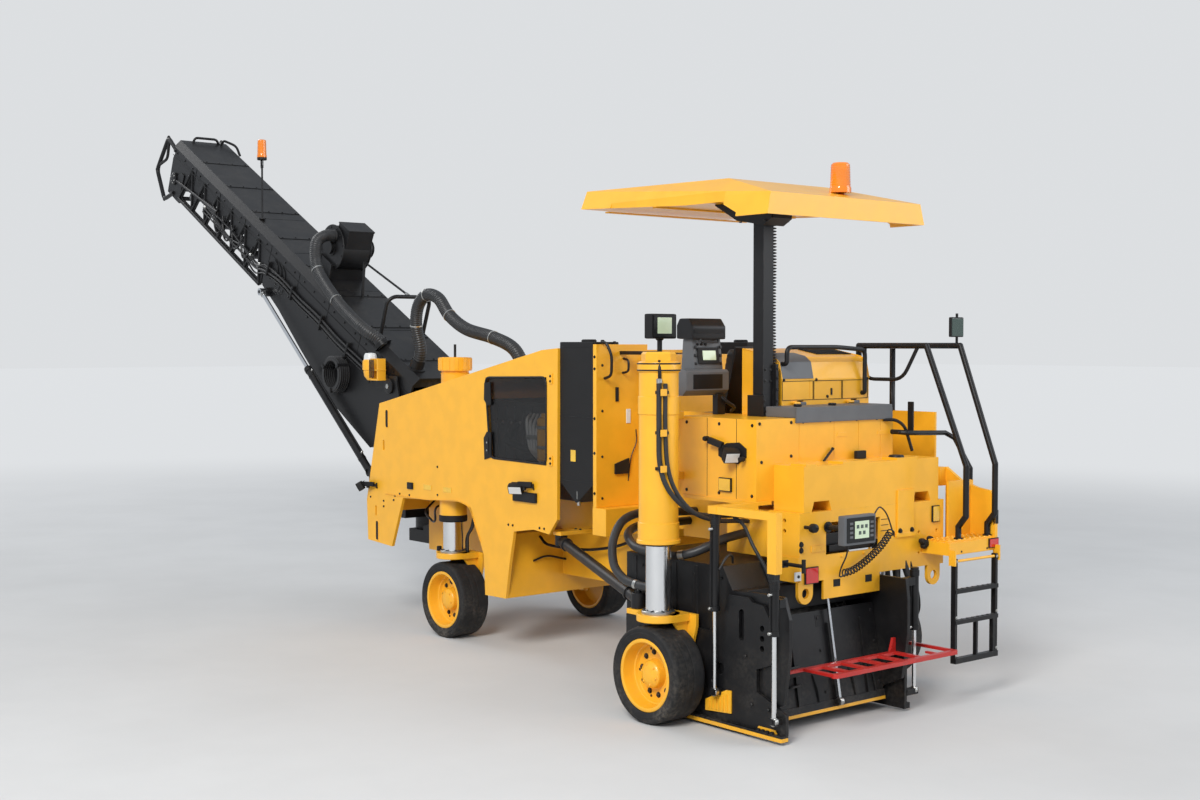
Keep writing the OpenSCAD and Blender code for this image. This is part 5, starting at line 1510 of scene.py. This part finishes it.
def make_boom_base():
    """The folded duct end, the rods and bracket over the conveyor's foot, and the tower's lamp and bolts."""
    ring = Piece("duct_end_ring", "conveyor")
    centre = (6147, 0, 2254)
    folds = [(154 + 14 * (k % 2), 361 + 12 * k + step) for k in range(11) for step in (0, 6)]
    outer, inner = [(r + 22, h) for r, h in folds], [(r - 14, h) for r, h in reversed(folds)]
    ring.turned(outer + inner, centre, LEFT, HOSE, 44, ring=True)
    for a in (0.5, 2.6, 4.7):
        ring.slab((centre[0] + 166 * math.cos(a), 425, centre[2] + 166 * math.sin(a)), LEFT, (150, 30, 50),
                  BLACK, 4, up=(math.cos(a), 0, math.sin(a)))
    ring.block((6040, 358, 2380), (6120, 400, 2430), BLACK, 4)
    ring.tube([(6280, 0, 3420), (5400, 0, 3035)], 11, BLACK, 10)
    ring.tube([(6280, 0, 3420), (6300, 0, 3250), (6330, 0, 3000)], 16, BLACK, 10)
    ring.turned(sleeve(11, 18, 0, 54, 4), (5480, 0, 3070), (-880, 0, -385), ZINC, 12)
    gantry = [(5562, 250, 2650), (5430, 250, 2990), (5400, 190, 3035), (5400, -190, 3035), (5430, -250, 2990),
              (5562, -250, 2650)]
    ring.tube(rounded(gantry, 60), 20, BLACK, 14)
    for y in (250, -250):
        ring.slab((5562, y, 2656), (0.883, 0, 0.469), (120, 70, 12), BLACK, 4)
    ring.done("hose_rubber")
    lamp = Piece("tower_work_lamp", "slew")
    lamp.block((5180, 401, 2130), (5400, 409, 2260), BLACK, 3)
    for x in (5210, 5330):
        lamp.prism("xz", [(x, 2210), (x + 20, 2210), (x + 20, 2420), (x, 2420)], 409, 500, YELLOW, 4)
    for low, top in ((2205, 2222), (2300, 2315)):
        lamp.block((5205, 409, low), (5355, 500, top), YELLOW, 4)
    lamp.turned([(0, 0), (70, 0), (78, 8), (78, 90), (66, 110), (60, 112)], (5420, 455, 2300), UP, YELLOW, 28)
    lamp.turned([(66, 108), (62, 150), (50, 172), (0, 178)], (5420, 455, 2300), UP, WHITE, 28)
    lamp.turned([(0, 0), (30, 0), (62, 40), (70, 96), (0, 96)], (5420, 455, 2206), UP, YELLOW, 24)
    lamp.tube([(5340, 455, 2330), (5380, 455, 2330)], 16, BLACK, 12)
    for k in range(5):
        lamp.tube(rounded([(5350 - 20 * k, 508, 2230), (5345 - 20 * k, 512, 2330),
                           (5352 - 20 * k, 508, 2410)], 30), 4, BLACK, 6)
    for a, b in around(12, 175):
        lamp.bolt((SLEW_X + a, b, 961), UP, BLACK, 12)
    for sign in (1, -1):
        lamp.turned([(0, 0), (70, 0), (74, 5), (74, 20), (60, 26), (0, 26)], (LIFT_X, sign * 401, LIFT_Z),
                    (0, sign, 0), BLACK, 30)
        lamp.turned([(0, 0), (26, 0), (26, 8), (0, 10)], (LIFT_X, sign * 427, LIFT_Z), (0, sign, 0), ZINC, 6)
        bolts(lamp, [(x, sign * 401, z) for x, z in ((4930, 1000), (5450, 1000), (5000, 1700), (5300, 1900))],
              (0, sign, 0), BLACK, 12)
    lamp.done("black_paint")


def make_lift_cylinders():
    """End caps, ports and eyes of the conveyor's lift cylinders."""
    low, high = Vector((5450, 450, 1300)), Vector((7706, 450, 3136))
    way = high - low
    caps = Piece("lift_cylinder_caps", "lift_barrels")
    eyes = Piece("lift_rod_eyes", "lift_rods")
    for sign in (1, -1):
        a = Vector((low.x, sign * low.y, low.z))
        for share, r, h in ((0.06, 41, 30), (0.53, 43, 44), (0.50, 41, 12)):
            caps.turned(sleeve(38, r, 0, h, 2), a + way * share, way, BLACK, 28)
        for share in (0.08, 0.52):
            caps.turned(knob(13, 9, 58, 62, 30), a + way * share, (-0.63, 0, 0.78), ZINC, 12)
        pipe = a + Vector((-36, 0, 45))
        caps.tube([pipe + way * 0.08, pipe + way * 0.52], 8, BLACK, 10)
        b = Vector((high.x, sign * high.y, high.z))
        eyes.turned(disc(20, -34, 34, 2, 4), b, LEFT, BLACK, 20)
        eyes.turned(sleeve(22, 30, 0, 44, 4), b - way.normalized() * 70, way, ZINC, 20)
    caps.done("black_paint")
    eyes.done("chrome_rod")


def make_boom_beacon():
    """The tip's beacon on a thin post with a spring at its top."""
    post = Piece("beacon_post", "conveyor")
    post.tube([(BEACON_X, BEACON_Y, 3958), (BEACON_X, BEACON_Y, 4560)], 11, BLACK, 12)
    post.tube(curl([(BEACON_X, BEACON_Y, 4530), (BEACON_X, BEACON_Y, 4575), (BEACON_X, BEACON_Y, 4618)], 15,
                   9), 4, BLACK, 6)
    post.turned([(0, 0), (50, 0), (54, 4), (54, 26), (46, 30), (0, 30)], (BEACON_X, BEACON_Y, 4617), UP,
                BLACK, 28)
    post.turned([(16, 0), (40, 0), (40, 14), (16, 16)], (BEACON_X, BEACON_Y, 3958), UP, BLACK, 20)
    post.done("black_plastic", "boom_beacon")
    make_beacon("boom_tip_beacon", "conveyor", (BEACON_X, BEACON_Y, 4646), 54, 198, ("boom_beacon",))


make_conveyor_sides()
make_lattice_details()
make_blower_details()
make_boom_base()
make_lift_cylinders()
make_boom_beacon()


# CAD solids that stay
def dress(node, skin, edge=2.5):
    """Gives a solid its finish and softens the corners of its plates."""
    solid = nodes[node]
    for place in solid.material_slots:
        place.material = skin
    weld = solid.modifiers.new("weld", "WELD")
    weld.merge_threshold = 0.00002
    flat = solid.modifiers.new("flat_faces", "DECIMATE")
    flat.decimate_type, flat.angle_limit = "DISSOLVE", math.radians(1)
    soft = solid.modifiers.new("soft_corners", "BEVEL")
    soft.width, soft.segments, soft.limit_method, soft.angle_limit = edge / 1000, 2, "ANGLE", math.radians(30)
    soft.use_clamp_overlap = True
    solid.modifiers.new("even_shading", "WEIGHTED_NORMAL").keep_sharp = True


DRESSED = {"front_frame": YELLOW, "front_panels": YELLOW, "front_cover": YELLOW, "mid_body": YELLOW,
           "rear_body": YELLOW, "rear_bumper": YELLOW, "bumper_tray": YELLOW, "tool_beam": YELLOW,
           "rear_door": BLACK, "left_side_plate": BLACK, "right_side_plate": BLACK, "canopy": YELLOW,
           "step_box": YELLOW, "engine_hood": YELLOW, "platform": DECK, "mast": BLACK, "handrails": BLACK,
           "drum_box": BLACK, "cylinder_barrels": BLACK, "slew_base": BLACK, "ladder": BLACK,
           "slew_frame": BLACK, "boom": BLACK, "boom_lattice": BLACK, "blower": BLACK, "lift_barrels": BLACK,
           "engine_block": CAST, "lift_rods": CHROME, "belt": BELT,}
for node, skin in DRESSED.items():
    dress(node, skin)
rails = nodes["handrails"].modifiers.new("paint_thickness", "DISPLACE")
rails.strength, rails.mid_level = 0.004, 0
